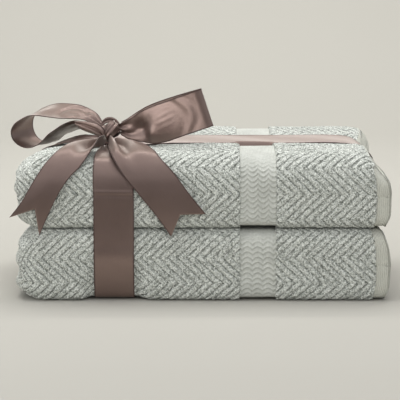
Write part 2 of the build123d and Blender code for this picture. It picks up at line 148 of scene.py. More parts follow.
def make(name, verts, faces, mat, cloth=None, flat=False):
    """faces is an (n, 4) array, or a list of index lists."""
    me = bpy.data.meshes.new(name)
    verts = np.asarray(verts, float).reshape(-1, 3) / MM
    if isinstance(faces, np.ndarray):
        n = len(faces)
        me.vertices.add(len(verts))
        me.vertices.foreach_set("co", verts.astype(np.float32).ravel())
        me.loops.add(n * 4)
        me.loops.foreach_set("vertex_index", faces.astype(np.int32).ravel())
        me.polygons.add(n)
        me.polygons.foreach_set("loop_start", (np.arange(n) * 4).astype(np.int32))
        me.polygons.foreach_set("loop_total", np.full(n, 4, np.int32))
        me.update(calc_edges=True)
    else:
        me.from_pydata([tuple(v) for v in verts], [], faces)
    me.validate()
    if cloth is not None:
        at = me.attributes.new("cloth", "FLOAT_VECTOR", "POINT")
        at.data.foreach_set("vector", np.asarray(cloth, np.float32).ravel())
    me.materials.append(mat)
    me.polygons.foreach_set("use_smooth", np.full(len(me.polygons), not flat))
    ob = bpy.data.objects.new(name, me)
    bpy.context.scene.collection.objects.link(ob)
    return ob


def grid_faces(nu, nv, wrap_u=False, wrap_v=False, base=0, flip=False):
    u = np.arange(nu if wrap_u else nu - 1)
    v = np.arange(nv if wrap_v else nv - 1)
    U, V = np.meshgrid(u, v, indexing="ij")
    U2, V2 = (U + 1) % nu, (V + 1) % nv
    f = np.stack([U * nv + V, U2 * nv + V, U2 * nv + V2, U * nv + V2], -1).reshape(-1, 4) + base
    return f[:, ::-1] if flip else f


def normals_of(p, wrap0=False, wrap1=False):
    def grad(a, axis, wrap):
        if wrap:
            return np.roll(a, -1, axis) - np.roll(a, 1, axis)
        return np.gradient(a, axis=axis)
    return unit(np.cross(grad(p, 0, wrap0), grad(p, 1, wrap1)))


# ------------------------------------------------------------------ materials
def nodes_for(name):
    m = bpy.data.materials.new(name)
    m.use_nodes = True
    nt = m.node_tree
    nt.nodes.clear()
    out = nt.nodes.new("ShaderNodeOutputMaterial")
    bsdf = nt.nodes.new("ShaderNodeBsdfPrincipled")
    nt.links.new(bsdf.outputs[0], out.inputs[0])
    return m, nt, bsdf


class Net:
    """Short names for building shader maths."""

    def __init__(self, nt):
        self.nt = nt

    def put(self, sock, v):
        if isinstance(v, bpy.types.NodeSocket):
            self.nt.links.new(v, sock)
        else:
            sock.default_value = v

    def math(self, op, a, b=None, c=None, clamp=False):
        n = self.nt.nodes.new("ShaderNodeMath")
        n.operation = op
        n.use_clamp = clamp
        for i, v in enumerate((a, b, c)):
            if v is not None:
                self.put(n.inputs[i], v)
        return n.outputs[0]

    def ramp(self, v, a, b, lo=0.0, hi=1.0):
        n = self.nt.nodes.new("ShaderNodeMapRange")
        n.interpolation_type = "SMOOTHSTEP"
        for i, x in enumerate((v, a, b, lo, hi)):
            self.put(n.inputs[i], x)
        return n.outputs[0]

    def mix(self, f, a, b, mode="MIX"):
        n = self.nt.nodes.new("ShaderNodeMix")
        n.data_type = "RGBA"
        n.blend_type = mode
        n.clamp_factor = True
        self.put(n.inputs[0], f)
        self.put(n.inputs[6], a)
        self.put(n.inputs[7], b)
        return n.outputs[2]

    def noise(self, scale, detail=2.0, rough=0.5, vec=None, w=None):
        n = self.nt.nodes.new("ShaderNodeTexNoise")
        n.inputs["Scale"].default_value = scale
        n.inputs["Detail"].default_value = detail
        n.inputs["Roughness"].default_value = rough
        if vec is not None:
            self.nt.links.new(vec, n.inputs["Vector"])
        return n.outputs["Fac"]

    def cells(self, scale, vec=None, rand=1.0):
        n = self.nt.nodes.new("ShaderNodeTexVoronoi")
        n.inputs["Scale"].default_value = scale
        n.inputs["Randomness"].default_value = rand
        if vec is not None:
            self.nt.links.new(vec, n.inputs["Vector"])
        return n.outputs["Distance"]

    def coords(self):
        n = self.nt.nodes.new("ShaderNodeTexCoord")
        return n.outputs["Object"]

    def cloth(self):
        a = self.nt.nodes.new("ShaderNodeAttribute")
        a.attribute_name = "cloth"
        s = self.nt.nodes.new("ShaderNodeSeparateXYZ")
        self.nt.links.new(a.outputs["Vector"], s.inputs[0])
        # the third channel carries painted light and shade on the dobby and hem; it is zero elsewhere
        return s.outputs[0], s.outputs[1], s.outputs[2], a.outputs["Vector"]

    def bump(self, height, distance, strength=1.0):
        n = self.nt.nodes.new("ShaderNodeBump")
        n.inputs["Strength"].default_value = strength
        n.inputs["Distance"].default_value = distance
        self.nt.links.new(height, n.inputs["Height"])
        return n.outputs[0]


def terry_material(name, light, dark):
    m, nt, b = nodes_for(name)
    t = Net(nt)
    x, g, k, _ = t.cloth()
    obj = t.coords()
    wob = t.math("MULTIPLY", t.math("SUBTRACT", t.noise(42.0, 2.0, 0.5, obj), 0.5), 3.2)
    zig = t.math("FRACT", t.math("MULTIPLY", g, 1.0 / (2 * HALF)))
    zig = t.math("ABSOLUTE", t.math("MULTIPLY_ADD", zig, 2.0, -1.0))
    zig = t.math("MULTIPLY_ADD", zig, 2.0 * SWING, -SWING)
    ph = t.math("SUBTRACT", t.math("ADD", x, wob), zig)
    d = t.math("FRACT", t.math("MULTIPLY", ph, 1.0 / PITCH))
    d = t.math("MULTIPLY", t.math("ABSOLUTE", t.math("SUBTRACT", d, 0.5)), 2.0)
    groove = t.ramp(d, 0.60, 0.98)
    loops = t.cells(720.0, obj)                       # 0 at a loop's middle
    fuzz = t.noise(620.0, 2.0, 0.75, obj)
    clump = t.noise(230.0, 2.0, 0.6, obj)
    broad = t.noise(26.0, 2.0, 0.5, obj)
    broken = t.ramp(t.noise(260.0, 1.0, 0.5, obj), 0.30, 0.62)
    # painted shade: the pile colour darkens where its bump is low, in the rib grooves, at the rims between pile loops
    # and in the fuzz and clump hollows; broad adds random tone
    shade = t.math("MULTIPLY", groove, t.math("MULTIPLY_ADD", broken, 0.44, 0.06))
    shade = t.math("ADD", shade, t.math("MULTIPLY", t.ramp(loops, 0.26, 0.74), 0.46))
    shade = t.math("ADD", shade, t.math("MULTIPLY", t.math("SUBTRACT", 0.545, fuzz), 3.5))
    shade = t.math("ADD", shade, t.math("MULTIPLY", t.math("SUBTRACT", 0.5, clump), 0.6))
    shade = t.math("ADD", shade, t.math("MULTIPLY", t.math("SUBTRACT", 0.5, broad), 0.25), clamp=True)
    t.put(b.inputs["Base Color"], t.mix(shade, light, dark))
    b.inputs["Roughness"].default_value = 1.0
    b.inputs["Specular IOR Level"].default_value = 0.08
    b.inputs["Sheen Weight"].default_value = 0.22
    b.inputs["Sheen Roughness"].default_value = 0.55
    h = t.math("MULTIPLY", groove, -0.9)
    h = t.math("ADD", h, t.math("MULTIPLY", loops, -0.55))
    h = t.math("ADD", h, t.math("MULTIPLY", fuzz, 0.9))
    h = t.math("ADD", h, t.math("MULTIPLY", clump, 0.4))
    t.put(b.inputs["Normal"], t.bump(h, 0.0014, 0.9))
    return m


def woven_material(name, light, dark, step_x, step_g, rib=0.5):
    """Flat weave: fine yarns both ways, with slubs."""
    m, nt, b = nodes_for(name)
    t = Net(nt)
    x, g, k, _ = t.cloth()
    obj = t.coords()
    slub = t.math("MULTIPLY", t.math("SUBTRACT", t.noise(120.0, 2.0, 0.5, obj), 0.5), 0.8)
    yx = t.math("SINE", t.math("MULTIPLY", t.math("ADD", x, slub), 2 * math.pi / step_x))
    yg = t.math("SINE", t.math("MULTIPLY", t.math("ADD", g, slub), 2 * math.pi / step_g))
    fine = t.noise(1100.0, 2.0, 0.6, obj)
    broad = t.noise(60.0, 2.0, 0.5, obj)
    shade = t.math("MULTIPLY_ADD", yx, 0.20 * rib, 0.34)
    shade = t.math("ADD", shade, t.math("MULTIPLY", yg, 0.07))
    shade = t.math("ADD", shade, t.math("MULTIPLY", t.math("SUBTRACT", 0.5, fine), 0.9))
    shade = t.math("ADD", shade, t.math("MULTIPLY", t.math("SUBTRACT", 0.5, broad), 0.5))
    # painted light and shade from the third cloth channel: lighter raised cords with a shade line below them on the
    # dobby, shade along the pressed crease on the hem
    shade = t.math("ADD", shade, t.math("MULTIPLY", k, 0.55), clamp=True)
    t.put(b.inputs["Base Color"], t.mix(shade, light, dark))
    b.inputs["Roughness"].default_value = 0.9
    b.inputs["Specular IOR Level"].default_value = 0.12
    b.inputs["Sheen Weight"].default_value = 0.12
    b.inputs["Sheen Roughness"].default_value = 0.5
    h = t.math("MULTIPLY", yx, -0.5 * rib)
    h = t.math("ADD", h, t.math("MULTIPLY", yg, 0.16))
    h = t.math("ADD", h, t.math("MULTIPLY", fine, 0.8))
    t.put(b.inputs["Normal"], t.bump(h, 0.0005, 0.8))
    return m


def satin_material(name):
    """Satin: long warp floats along the ribbon, a woven selvage at both edges."""
    m, nt, b = nodes_for(name)
    t = Net(nt)
    s, u, k, vec = t.cloth()                          # along, across (mm from the middle), painted shade channel (zero on the ribbons)
    obj = t.coords()
    broad = t.noise(30.0, 3.0, 0.55, obj)
    stretch = nt.nodes.new("ShaderNodeMapping")
    stretch.inputs["Scale"].default_value = (0.12, 2.2, 1.0)
    nt.links.new(vec, stretch.inputs["Vector"])
    floats = t.noise(1.0, 3.0, 0.6, stretch.outputs[0])
    edge = t.ramp(t.math("ABSOLUTE", u), RIB_W / 2 - 1.5, RIB_W / 2 - 0.7)
    shade = t.math("MULTIPLY_ADD", t.math("SUBTRACT", broad, 0.5), 0.9, 0.40)
    shade = t.math("ADD", shade, t.math("MULTIPLY", t.math("SUBTRACT", floats, 0.5), 0.45), clamp=True)
    col = t.mix(shade, (0.285, 0.205, 0.178, 1), (0.205, 0.141, 0.121, 1))
    col = t.mix(t.math("MULTIPLY", edge, 0.7), col, (0.080, 0.045, 0.040, 1))
    t.put(b.inputs["Base Color"], col)
    rough = t.math("MULTIPLY_ADD", floats, 0.12, 0.32)
    rough = t.math("ADD", rough, t.math("MULTIPLY", edge, 0.25))
    t.put(b.inputs["Roughness"], rough)
    b.inputs["Metallic"].default_value = 0.80
    b.inputs["Specular IOR Level"].default_value = 0.7
    b.inputs["Specular Tint"].default_value = (1.0, 0.98, 0.97, 1)
    b.inputs["Coat Weight"].default_value = 0.38
    b.inputs["Coat Roughness"].default_value = 0.32
    b.inputs["Coat Tint"].default_value = (1.0, 0.985, 0.97, 1)
    b.inputs["Sheen Weight"].default_value = 0.10
    b.inputs["Sheen Roughness"].default_value = 0.3
    b.inputs["Sheen Tint"].default_value = (0.95, 0.82, 0.78, 1)
    h = t.math("MULTIPLY", floats, 0.30)
    h = t.math("ADD", h, t.math("MULTIPLY", t.math("SINE", t.math("MULTIPLY", s, 2 * math.pi / 0.9)),
                                t.math("MULTIPLY", edge, 0.5)))
    h = t.math("ADD", h, t.math("MULTIPLY", t.noise(75.0, 2.0, 0.5, obj), 0.9))
    t.put(b.inputs["Normal"], t.bump(h, 0.0007, 0.5))
    return m


TERRY_U = terry_material("terry_pile_upper", (0.70, 0.725, 0.675, 1), (0.20, 0.215, 0.19, 1))
TERRY_L = terry_material("terry_pile_lower", (0.70, 0.725, 0.675, 1), (0.20, 0.215, 0.19, 1))
DOBBY = woven_material("dobby_weave", (0.645, 0.66, 0.615, 1), (0.25, 0.26, 0.23, 1), 1.3, 1.2, 0.4)
HEM = woven_material("hem_weave", (0.575, 0.58, 0.515, 1), (0.31, 0.31, 0.265, 1), 1.7, 0.9, 0.9)
SATIN = satin_material("satin_taupe")


# ------------------------------------------------------------------ a folded towel
def nose(y_flat, depth, z_mid, half, power, n, start=-1, power2=None):
    """Half a superellipse from below (start=-1) or above (+1), tip at y_flat + depth."""
    a = np.linspace(0, math.pi, n)
    if power2 is not None:
        power = np.where(a < math.pi / 2, power, power2)
    s, c = np.sin(a), np.cos(a)
    y = y_flat + depth * np.sign(s) * np.abs(s) ** (2 / power)
    z = z_mid + start * half * np.sign(c) * np.abs(c) ** (2 / power)
    return np.stack([y, z], 1)


def path_pairs(tall, crown):
    """(outer, inner) points along one towel's letter fold, with a number saying which stretch it is."""
    a, b = PLY, 2 * PLY
    g = 0.15
    O, I, K = [], [], []

    def add(o, i, kind):
        O.append(o); I.append(i); K.append(np.full(len(o), kind))

    def line(p, q, n):
        t = np.linspace(0, 1, n)[:, None]
        return np.array(p) * (1 - t) + np.array(q) * t

    add(line((-104, b - g), (95, b), 200), line((-104, a + g), (98, a + g), 200), 1)
    o = nose(95, BACK - 95, a, a, 2.2, 260, start=1)
    add(o, line((98, a + g), (98, a - g), 260), 2)
    add(line((95, 0), (-90, 0), 200), line((98, a - g), (-99, a - g), 200), 3)
    o = nose(-90, FRONT + 90, tall / 2, tall / 2, 6.5, 600, start=-1, power2=crown)
    add(o, nose(-99, -8, (a + b) / 2, (b - a) / 2, 2.0, 600, start=-1), 4)
    add(line((-90, tall), (111, tall), 400), line((-99, b + g), (111, b + g), 400), 5)
    O, I, K = np.vstack(O), np.vstack(I), np.concatenate(K)
    keep = np.concatenate([[True], np.linalg.norm(np.diff(O, axis=0), axis=1) + np.linalg.norm(np.diff(I, axis=0), axis=1) > 1e-6])
    return O[keep], I[keep], K[keep]


def resample(O, I, K, fine, mid, coarse):
    """Fewer points where nobody looks closely."""
    step = np.linalg.norm(np.diff(O, axis=0), axis=1)
    step = np.maximum(step, 0.25 * np.linalg.norm(np.diff(I, axis=0), axis=1))
    s = np.concatenate([[0], np.cumsum(step)])
    size = np.where(K == 4, fine, np.where(K == 5, np.where(O[:, 0] < -45, fine, mid), coarse))
    size = np.where((K == 3) & (O[:, 0] < -84), fine, size)
    size = np.where(K == 2, 2.2, size)
    w = np.concatenate([[0], np.cumsum(step / (0.5 * (size[1:] + size[:-1])))])
    n = int(w[-1]) + 1
    at = np.linspace(0, w[-1], n)
    sO = np.concatenate([[0], np.cumsum(np.linalg.norm(np.diff(O, axis=0), axis=1))])
    pick = lambda v: np.interp(at, w, v)
    return (np.stack([pick(O[:, 0]), pick(O[:, 1])], 1), np.stack([pick(I[:, 0]), pick(I[:, 1])], 1),
            pick(sO), pick(size), pick(K.astype(float)))


def push_inside(p, q, run, gap, closed=True):
    """Moves points (p, q) that lie outside a closed run, kept in by gap, back onto it."""
    poly, _ = spline(run, 700, closed=True)
    t = unit(np.roll(poly, -1, 0) - np.roll(poly, 1, 0))
    centre = poly.mean(0)
    n = np.stack([t[:, 1], -t[:, 0]], 1)
    if ((poly - centre) * n).sum() < 0:
        n = -n
    poly = poly - n * gap
    pts = np.stack([p.ravel(), q.ravel()], 1)
    out = np.zeros_like(pts)
    for i in range(0, len(pts), 4000):
        d = pts[i:i + 4000, None, :] - poly[None, :, :]
        j = (d ** 2).sum(-1).argmin(1)
        dj = d[np.arange(len(j)), j]
        depth = (dj * n[j]).sum(1)
        out[i:i + 4000] = np.where((depth > 0)[:, None], -n[j] * depth[:, None], 0)
    return out[:, 0].reshape(p.shape), out[:, 1].reshape(p.shape)


LEFT_EDGE_U = [(-3, 8), (0, 11.5), (2, 15), (4.3, 19.5), (10.9, 23.4), (18.7, 22.9), (24, 25.1), (32.7, 26.6), (46, 25.8),
               (51.8, 23.7), (59.8, 18.8), (66, 11.5), (69, 5.5), (74, 0)]
LEFT_EDGE_L = [(-1, 8), (0, 10.5), (4.7, 18.2), (12.1, 23.5), (21.3, 25.6), (38.3, 25.6), (47.9, 24.3), (54.7, 20.4),
               (60.4, 14.1), (65.6, 10.5), (69, 8)]
RIGHT_EDGE_U = [(-2, 25), (0, 26.5), (13.5, 29.2), (32.7, 29.5), (51.8, 27.2), (60, 23), (67, 15), (74, 6)]
RIGHT_EDGE_L = [(-1, 24), (1.5, 26), (14, 28.8), (32.5, 29.6), (50, 28), (65, 23), (69, 21)]


def band_lift(x, y):
    """The lengthwise ribbon's height over the upper towel's top, above its run in the frame."""
    up = smooth(-62, -20, x) * smooth(172, 146, x)
    v = (y - (LENGTH_Y - 19)) / 38.0
    return 0.4 + up * (1.6 + 4.2 * v) - band_droop(x, v)


def band_droop(x, v):
    """How far its near edge hangs down over the sunk dobby border."""
    return 8.0 * smooth(DOB_A - 3, DOB_A + 2, x) * smooth(DOB_B + 3, DOB_B - 2, x) * np.clip(1 - v / 0.17, 0, 1) ** 1.1


def top_height(x, y):
    """How far the upper towel's top stands above its nominal height, between and beside the ribbons."""
    front = (1.4 + 3.9 * smooth(-42, 0, x)) * np.exp(-((y + 60) / 34.0) ** 2)
    back = 10.5 * np.exp(-((y - 76) / 27.0) ** 2) * smooth(-165, -40, x)
    slope = (1.4 + 3.6 * smooth(-10, 38, y)) * np.exp(-((y - 16) / 30.0) ** 2) * smooth(-55, -15, x)
    h = front + back + slope
    band = np.exp(-(np.maximum(np.abs(x - CROSS_X) - 17, 0) / 17.0) ** 2)
    h = h * (1 - band) + band * (0.6 * np.exp(-((y + 50) / 60) ** 2))
    # ends fall away, most of all at the left rear
    h = h - (13.0 - 8.5 * smooth(20, 65, y)) * smooth(149, 178, x) ** 1.3
    h = h - 3.5 * smooth(-128, -165, x) - 11.0 * smooth(-105, -165, x) * smooth(10, 66, y)
    return h


RUN_TOP = np.array([p for p in LENGTH_RUN if p[1] > 120 and p[0] > -160], float)


def under_band(x, y, z, thick=1.0):
    """Keeps the towel's top under the lengthwise ribbon that lies in it."""
    top = np.interp(x, RUN_TOP[:, 0], RUN_TOP[:, 1]) + band_lift(x, np.clip(y, LENGTH_Y - 19, LENGTH_Y + 19)) - thick
    over = np.maximum(z - top, 0)
    near = np.exp(-(np.maximum(np.abs(y - LENGTH_Y) - 19.0, 0) / 7.0) ** 2)
    return z - over * near


def towel_surface(which, x, w, O, I, kk):
    """Points of a towel at ring positions (x, w) and path positions (O, I): shape before its pile."""
    base = UP_Z if which == "upper" else 0.0
    X = np.repeat(x[:, None], len(O), 1)
    Wt = w[:, None]
    Y = O[None, :, 0] * (1 - Wt) + I[None, :, 0] * Wt
    Z = O[None, :, 1] * (1 - Wt) + I[None, :, 1] * Wt
    t = Z.copy()
    # plan corners and the ends' outline by height
    q = np.clip((-86 - Y) / 32, 0, 1)
    corner = 19.0 * (1 - np.sqrt(np.maximum(1 - q ** 2.2, 0)))
    qb = np.clip((Y - 92) / 26, 0, 1)
    corner_b = 12.0 * (1 - np.sqrt(np.maximum(1 - qb ** 2.2, 0)))
    tucked = 8.0 * smooth(-70, -104, Y) * (kk < 1.5)[None, :]
    corner = corner + tucked
    le = np.array(LEFT_EDGE_U if which == "upper" else LEFT_EDGE_L, float)
    re = np.array(RIGHT_EDGE_U if which == "upper" else RIGHT_EDGE_L, float)
    E = np.interp(t, le[:, 0], le[:, 1]) + 2.6 * smooth(4, 16, t) * smooth(70, 56, t)
    span = np.maximum(15 + E - corner - corner_b, 5)
    X = np.where(X < -135, -135 + (X + 135) * span / 40.0, X)
    E = np.interp(t, re[:, 0], re[:, 1]) + 1.6 * smooth(2, 12, t) * smooth(70, 56, t)
    if which == "upper":
        E = E + 9.0 * smooth(15, 65, Y) * smooth(50, 68, t)
    span = np.maximum(E - 1.8 * smooth(-97, -76, Y) - (corner - tucked) * 0.06 - 1.7 * tucked - corner_b * 0.25, 7)
    u = np.maximum(X - 150, 0)
    over = np.where(u < 15, u * 24 / 15, 24 + (u - 15) * 0.16)
    if which == "upper":
        u = u + (over - u) * smooth(-3.5, 3.5, t - 62.5 + 24 * smooth(5, 45, Y))
    X = np.where(X > 150, 150 + u * span / (HEM_END - 150), X)
    # top bulges
    if which == "upper":
        Z = Z + top_height(X, Y) * smooth(30, TALL, t)
    # soft unevenness
    P = np.stack([X, Y, Z + base], -1)
    n1 = noise(P, 46.0, 3 if which == "upper" else 7)
    n2 = noise(P, 17.0, 11 if which == "upper" else 13)
    out_y = np.clip(np.abs(Y) - 70, 0, 30) / 30
    P[..., 1] += np.sign(Y) * out_y * (1.1 * n1 + 0.45 * n2)
    lift = (smooth(45, TALL, t) if which == "upper" else 0.25 * smooth(45, TALL, t))
    P[..., 2] += lift * (0.7 * n1 + 0.35 * n2)
    if which == "upper":
        P[..., 2] = np.where(t > 58, under_band(P[..., 0], P[..., 1], P[..., 2]), P[..., 2])
    # sag between the two towels and at the base
    if which == "lower":
        P[..., 2] = np.minimum(P[..., 2], base + 68.6)
    # the crosswise ribbon holds both towels in
    near = np.exp(-(np.maximum(np.abs(P[..., 0] - CROSS_X) - 19.6, 0) / 9.0) ** 2)
    sel = near > 0.004
    if sel.any():
        dy, dz = push_inside(P[..., 1][sel], P[..., 2][sel], CROSS_RUN, 1.9)
        wgt = near[sel]
        P[..., 1][sel] += dy * wgt
        P[..., 2][sel] += dz * wgt
    near = np.exp(-(np.maximum(np.abs(P[..., 1] - LENGTH_Y) - 19.6, 0) / 9.0) ** 2)
    sel = (near > 0.004) & ((P[..., 0] < -120) | (P[..., 0] > 150) | (P[..., 2] < 30))
    if sel.any():
        dx, dz = push_inside(P[..., 0][sel], P[..., 2][sel], LENGTH_RUN, 1.9)
        wgt = near[sel]
        P[..., 0][sel] += dx * wgt
        P[..., 2][sel] += dz * wgt
    P[..., 2] = np.maximum(P[..., 2], base + 0.25 if which == "lower" else 0.3)
    return P


def rib_depth(x, g, wob):
    zig = 2 * SWING * np.abs(2 * ((g / (2 * HALF)) % 1) - 1) - SWING
    d = 2 * np.abs(((x + wob - zig) / PITCH) % 1 - 0.5)
    return d


def ring(x0, x1, step, left, right, coarse=7.0):
    """Ring of one slab: outer side, right end, inner side, left end.  Gives x, w and the number of outer-side points.
    """
    n = max(int((x1 - x0) / step), 2) + 1
    xo = np.linspace(x0, x1, n)
    xi = np.linspace(x1, x0, max(int((x1 - x0) / coarse), 2) + 1)

    def cap(kind, x, sign):
        if kind == "flat":
            w = np.linspace(0, 1, 7)[1:-1]
            return np.full(5, x), w
        if kind == "round":                                     # folded end, one thick roll
            a = np.linspace(0, math.pi, 26)[1:-1]
            w = 0.5 - 0.5 * np.cos(a) * np.abs(np.cos(a)) ** -0.15
            return x + sign * 11.5 * np.sin(a) ** 0.9, np.clip(w, 0.001, 0.999)
        w = np.concatenate([np.linspace(0.012, 0.12, 6), np.linspace(0.135, 0.25, 6), np.linspace(0.268, 0.985, 16)])
        mid = np.where(w < 0.128, 0.065, np.where(w < 0.26, 0.193, 0.627))
        half = np.where(w < 0.128, 0.06, np.where(w < 0.26, 0.061, 0.365))
        deep = np.where(w < 0.26, 1.3, 5.0)
        r = np.clip(np.abs(w - mid) / half, 0, 1)
        out = deep * (1 - np.sqrt(np.maximum(1 - r ** 2.4, 0))) + np.where(w < 0.26, 0.0, 1.2)
        return x - sign * out, w

    xr, wr = cap(right, x1, 1)
    xl, wl = cap(left, x0, -1)
    xs = np.concatenate([xo, xr, xi, xl[::-1]])
    ws = np.concatenate([np.zeros(n), wr, np.ones(len(xi)), wl[::-1]])
    return xs, ws, n


PIECES = []


def towel_zone(which, name, x0, x1, step, left, right, mat, kind, fine, mid, coarse):
    tall = TALL if which == "upper" else 68.7
    O, I, K = path_pairs(tall, 2.3 if which == "upper" else 4.2)
    O, I, s, size, kk = resample(O, I, K, fine, mid, coarse)
        # the chevrons turn at these heights on the front
    turn = (101.7 - UP_Z) if which == "upper" else 17.2
    sel = (kk > 3.5) & (kk < 4.5)
    g0 = np.interp(turn, O[sel, 1], s[sel])
    g = s - g0
    x, w, n_out = ring(x0, x1, step, left, right)
    P = towel_surface(which, x, w, O, I, kk)
    N = normals_of(P, wrap0=True)
    # make the outer side's normals point out
    i = n_out // 2
    j = int(np.argmin(np.abs(O[:, 1] - tall / 2) + (kk < 3.5) * 1e3 + (kk > 4.5) * 1e3))
    if N[i, j, 1] > 0:
        N = -N
    G = np.repeat(g[None, :], len(x), 0)
    X0 = np.repeat(x[:, None], len(g), 1)
    W = np.repeat(w[:, None], len(g), 1)
    X = P[..., 0] + np.where(X0 < 0, -1, 1) * 20.0 * np.where((W > 0) & (W < 1), W, 0) if kind == "terry" else X0
    cloth = np.stack([X, G, np.zeros_like(X)], -1)
    fade = np.clip((2.6 - size) / 1.0, 0, 1)[None, :]
    if kind == "terry":
        wob = 1.6 * noise(P, 24.0, 21)
        d = rib_depth(X, G, wob)
        pile = -0.85 * smooth(0.55, 1.0, d) + 0.35 * (1 - d ** 2)
        pile = pile * fade * (0.8 + 0.55 * noise(P, 7.0, 31))
        fuzz = 0.44 * hashed(np.arange(P.shape[0])[:, None] * np.ones(P.shape[1])[None], np.arange(P.shape[1])[None] * np.ones(P.shape[0])[:, None], np.zeros(P.shape[:2]), 5)
        fuzz = fuzz + 0.55 * noise(P, 2.6, 41)
        relief = pile + fuzz * (0.4 + 0.6 * fade)
        edge = np.zeros_like(X)
        if right == "flat":
            edge = np.maximum(edge, np.clip(1 - (x1 - X0) / 2.0, 0, 1) ** 2)
        if left == "flat":
            edge = np.maximum(edge, np.clip(1 - (X0 - x0) / 2.0, 0, 1) ** 2)
        relief = relief - 1.1 * edge
    elif kind == "dobby":
        ph = (X - 44.4) / 9.9
        if which == "upper":
            bend = 4.2 * (1 - np.abs(np.sin(math.pi * ph)) ** 0.8)
        else:
            bend = 3.4 * np.abs(np.cos(math.pi * ph)) ** 0.75
        row = ((G - bend) / 5.0) % 1
        near_mid = np.exp(-(np.maximum(np.abs(P[..., 2] - (UP_Z if which == "upper" else 0) - 31) - 22, 0) / 7.0) ** 2) * (P[..., 1] < 0)
        rel = (0.75 * np.exp(-((row - 0.5) / 0.13) ** 2) + 0.45 * np.exp(-((row - 0.78) / 0.08) ** 2)) * (0.25 + 0.75 * near_mid)
        rel = rel * fade
        relief = -2.1 + rel + 0.05 * noise(P, 2.2, 51)
        # painted light: the raised cords are lightened and a painted shade line runs just below each, strongest on the
        # front
        cloth[..., 2] = 0.18 - 0.75 * rel + 0.5 * np.exp(-((row - 0.30) / 0.12) ** 2) * near_mid * fade
    else:
        relief = -1.3 + 0.10 * np.sin(X * 2 * math.pi / 1.7) * fade + 0.1 * noise(P, 4.0, 61)
        # a crease pressed in half way up the front fold, with painted shade along it
        zc = P[..., 2] - (UP_Z if which == "upper" else 0)
        mark = 30.5 if which == "upper" else 34.5
        front = (P[..., 1] < -95) * (W < 0.5)
        relief = relief - 0.5 * np.exp(-((zc - mark) / 1.3) ** 2) * front
        cloth[..., 2] = -0.1 + 0.25 * np.exp(-((zc - mark) / 1.2) ** 2) * front
    side = np.where(W < 0.5, 1.0, 0.55)
    P = P + N * (relief * side)[..., None]
    P[..., 2] = np.maximum(P[..., 2], 0.0)
    nu, nv = P.shape[:2]
    F = grid_faces(nu, nv, wrap_u=True)
    # close both path ends with fans round a middle point
    V = [P.reshape(-1, 3)]
    C = [cloth.reshape(-1, 3)]
    extra = []
    base = nu * nv
    for col in (0, nv - 1):
        V.append(P[:, col].mean(0)[None]); C.append(cloth[:, col].mean(0)[None])
        a = np.arange(nu) * nv + col
        b = np.roll(a, -1)
        c = np.full(nu, base)
        quad = np.stack([a, b, c, c], 1)
        extra.append(quad if col == 0 else quad[:, ::-1])
        base += 1
    ob = make_mixed(name, np.vstack(V), F, extra, mat, np.vstack(C), P, N)
    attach(ob, "stack")
    PIECES.append(ob)
    return ob


def make_mixed(name, V, quads, tri_quads, mat, cloth, P, N):
    """Quads, plus fans given as quads whose last two corners are the same point."""
    tris = []
    for q in tri_quads:
        for f in q:
            s = []
            for v in f:
                if int(v) not in s:
                    s.append(int(v))
            tris.append(s)
    tris = np.array(tris, np.int32)
    # outward winding
    flip = False
    a, b, c = V[quads[len(quads) // 2][0]], V[quads[len(quads) // 2][1]], V[quads[len(quads) // 2][2]]
    nn = np.cross(b - a, c - b)
    idx = quads[len(quads) // 2][0]
    if nn @ N.reshape(-1, 3)[idx] < 0:
        quads = quads[:, ::-1]
        tris = tris[:, ::-1]
    me = bpy.data.meshes.new(name)
    me.vertices.add(len(V))
    me.vertices.foreach_set("co", (V / MM).astype(np.float32).ravel())
    nl = len(quads) * 4 + len(tris) * 3
    me.loops.add(nl)
    me.loops.foreach_set("vertex_index", np.concatenate([quads.astype(np.int32).ravel(), tris.ravel()]))
    me.polygons.add(len(quads) + len(tris))
    starts = np.concatenate([np.arange(len(quads)) * 4, len(quads) * 4 + np.arange(len(tris)) * 3])
    me.polygons.foreach_set("loop_start", starts.astype(np.int32))
    me.polygons.foreach_set("loop_total", np.concatenate([np.full(len(quads), 4), np.full(len(tris), 3)]).astype(np.int32))
    me.update(calc_edges=True)
    at = me.attributes.new("cloth", "FLOAT_VECTOR", "POINT")
    at.data.foreach_set("vector", cloth.astype(np.float32).ravel())
    me.materials.append(mat)
    me.polygons.foreach_set("use_smooth", np.full(len(me.polygons), True))
    ob = bpy.data.objects.new(name, me)
    bpy.context.scene.collection.objects.link(ob)
    return ob


FINE, MID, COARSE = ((1.15, 2.3, 6.0))


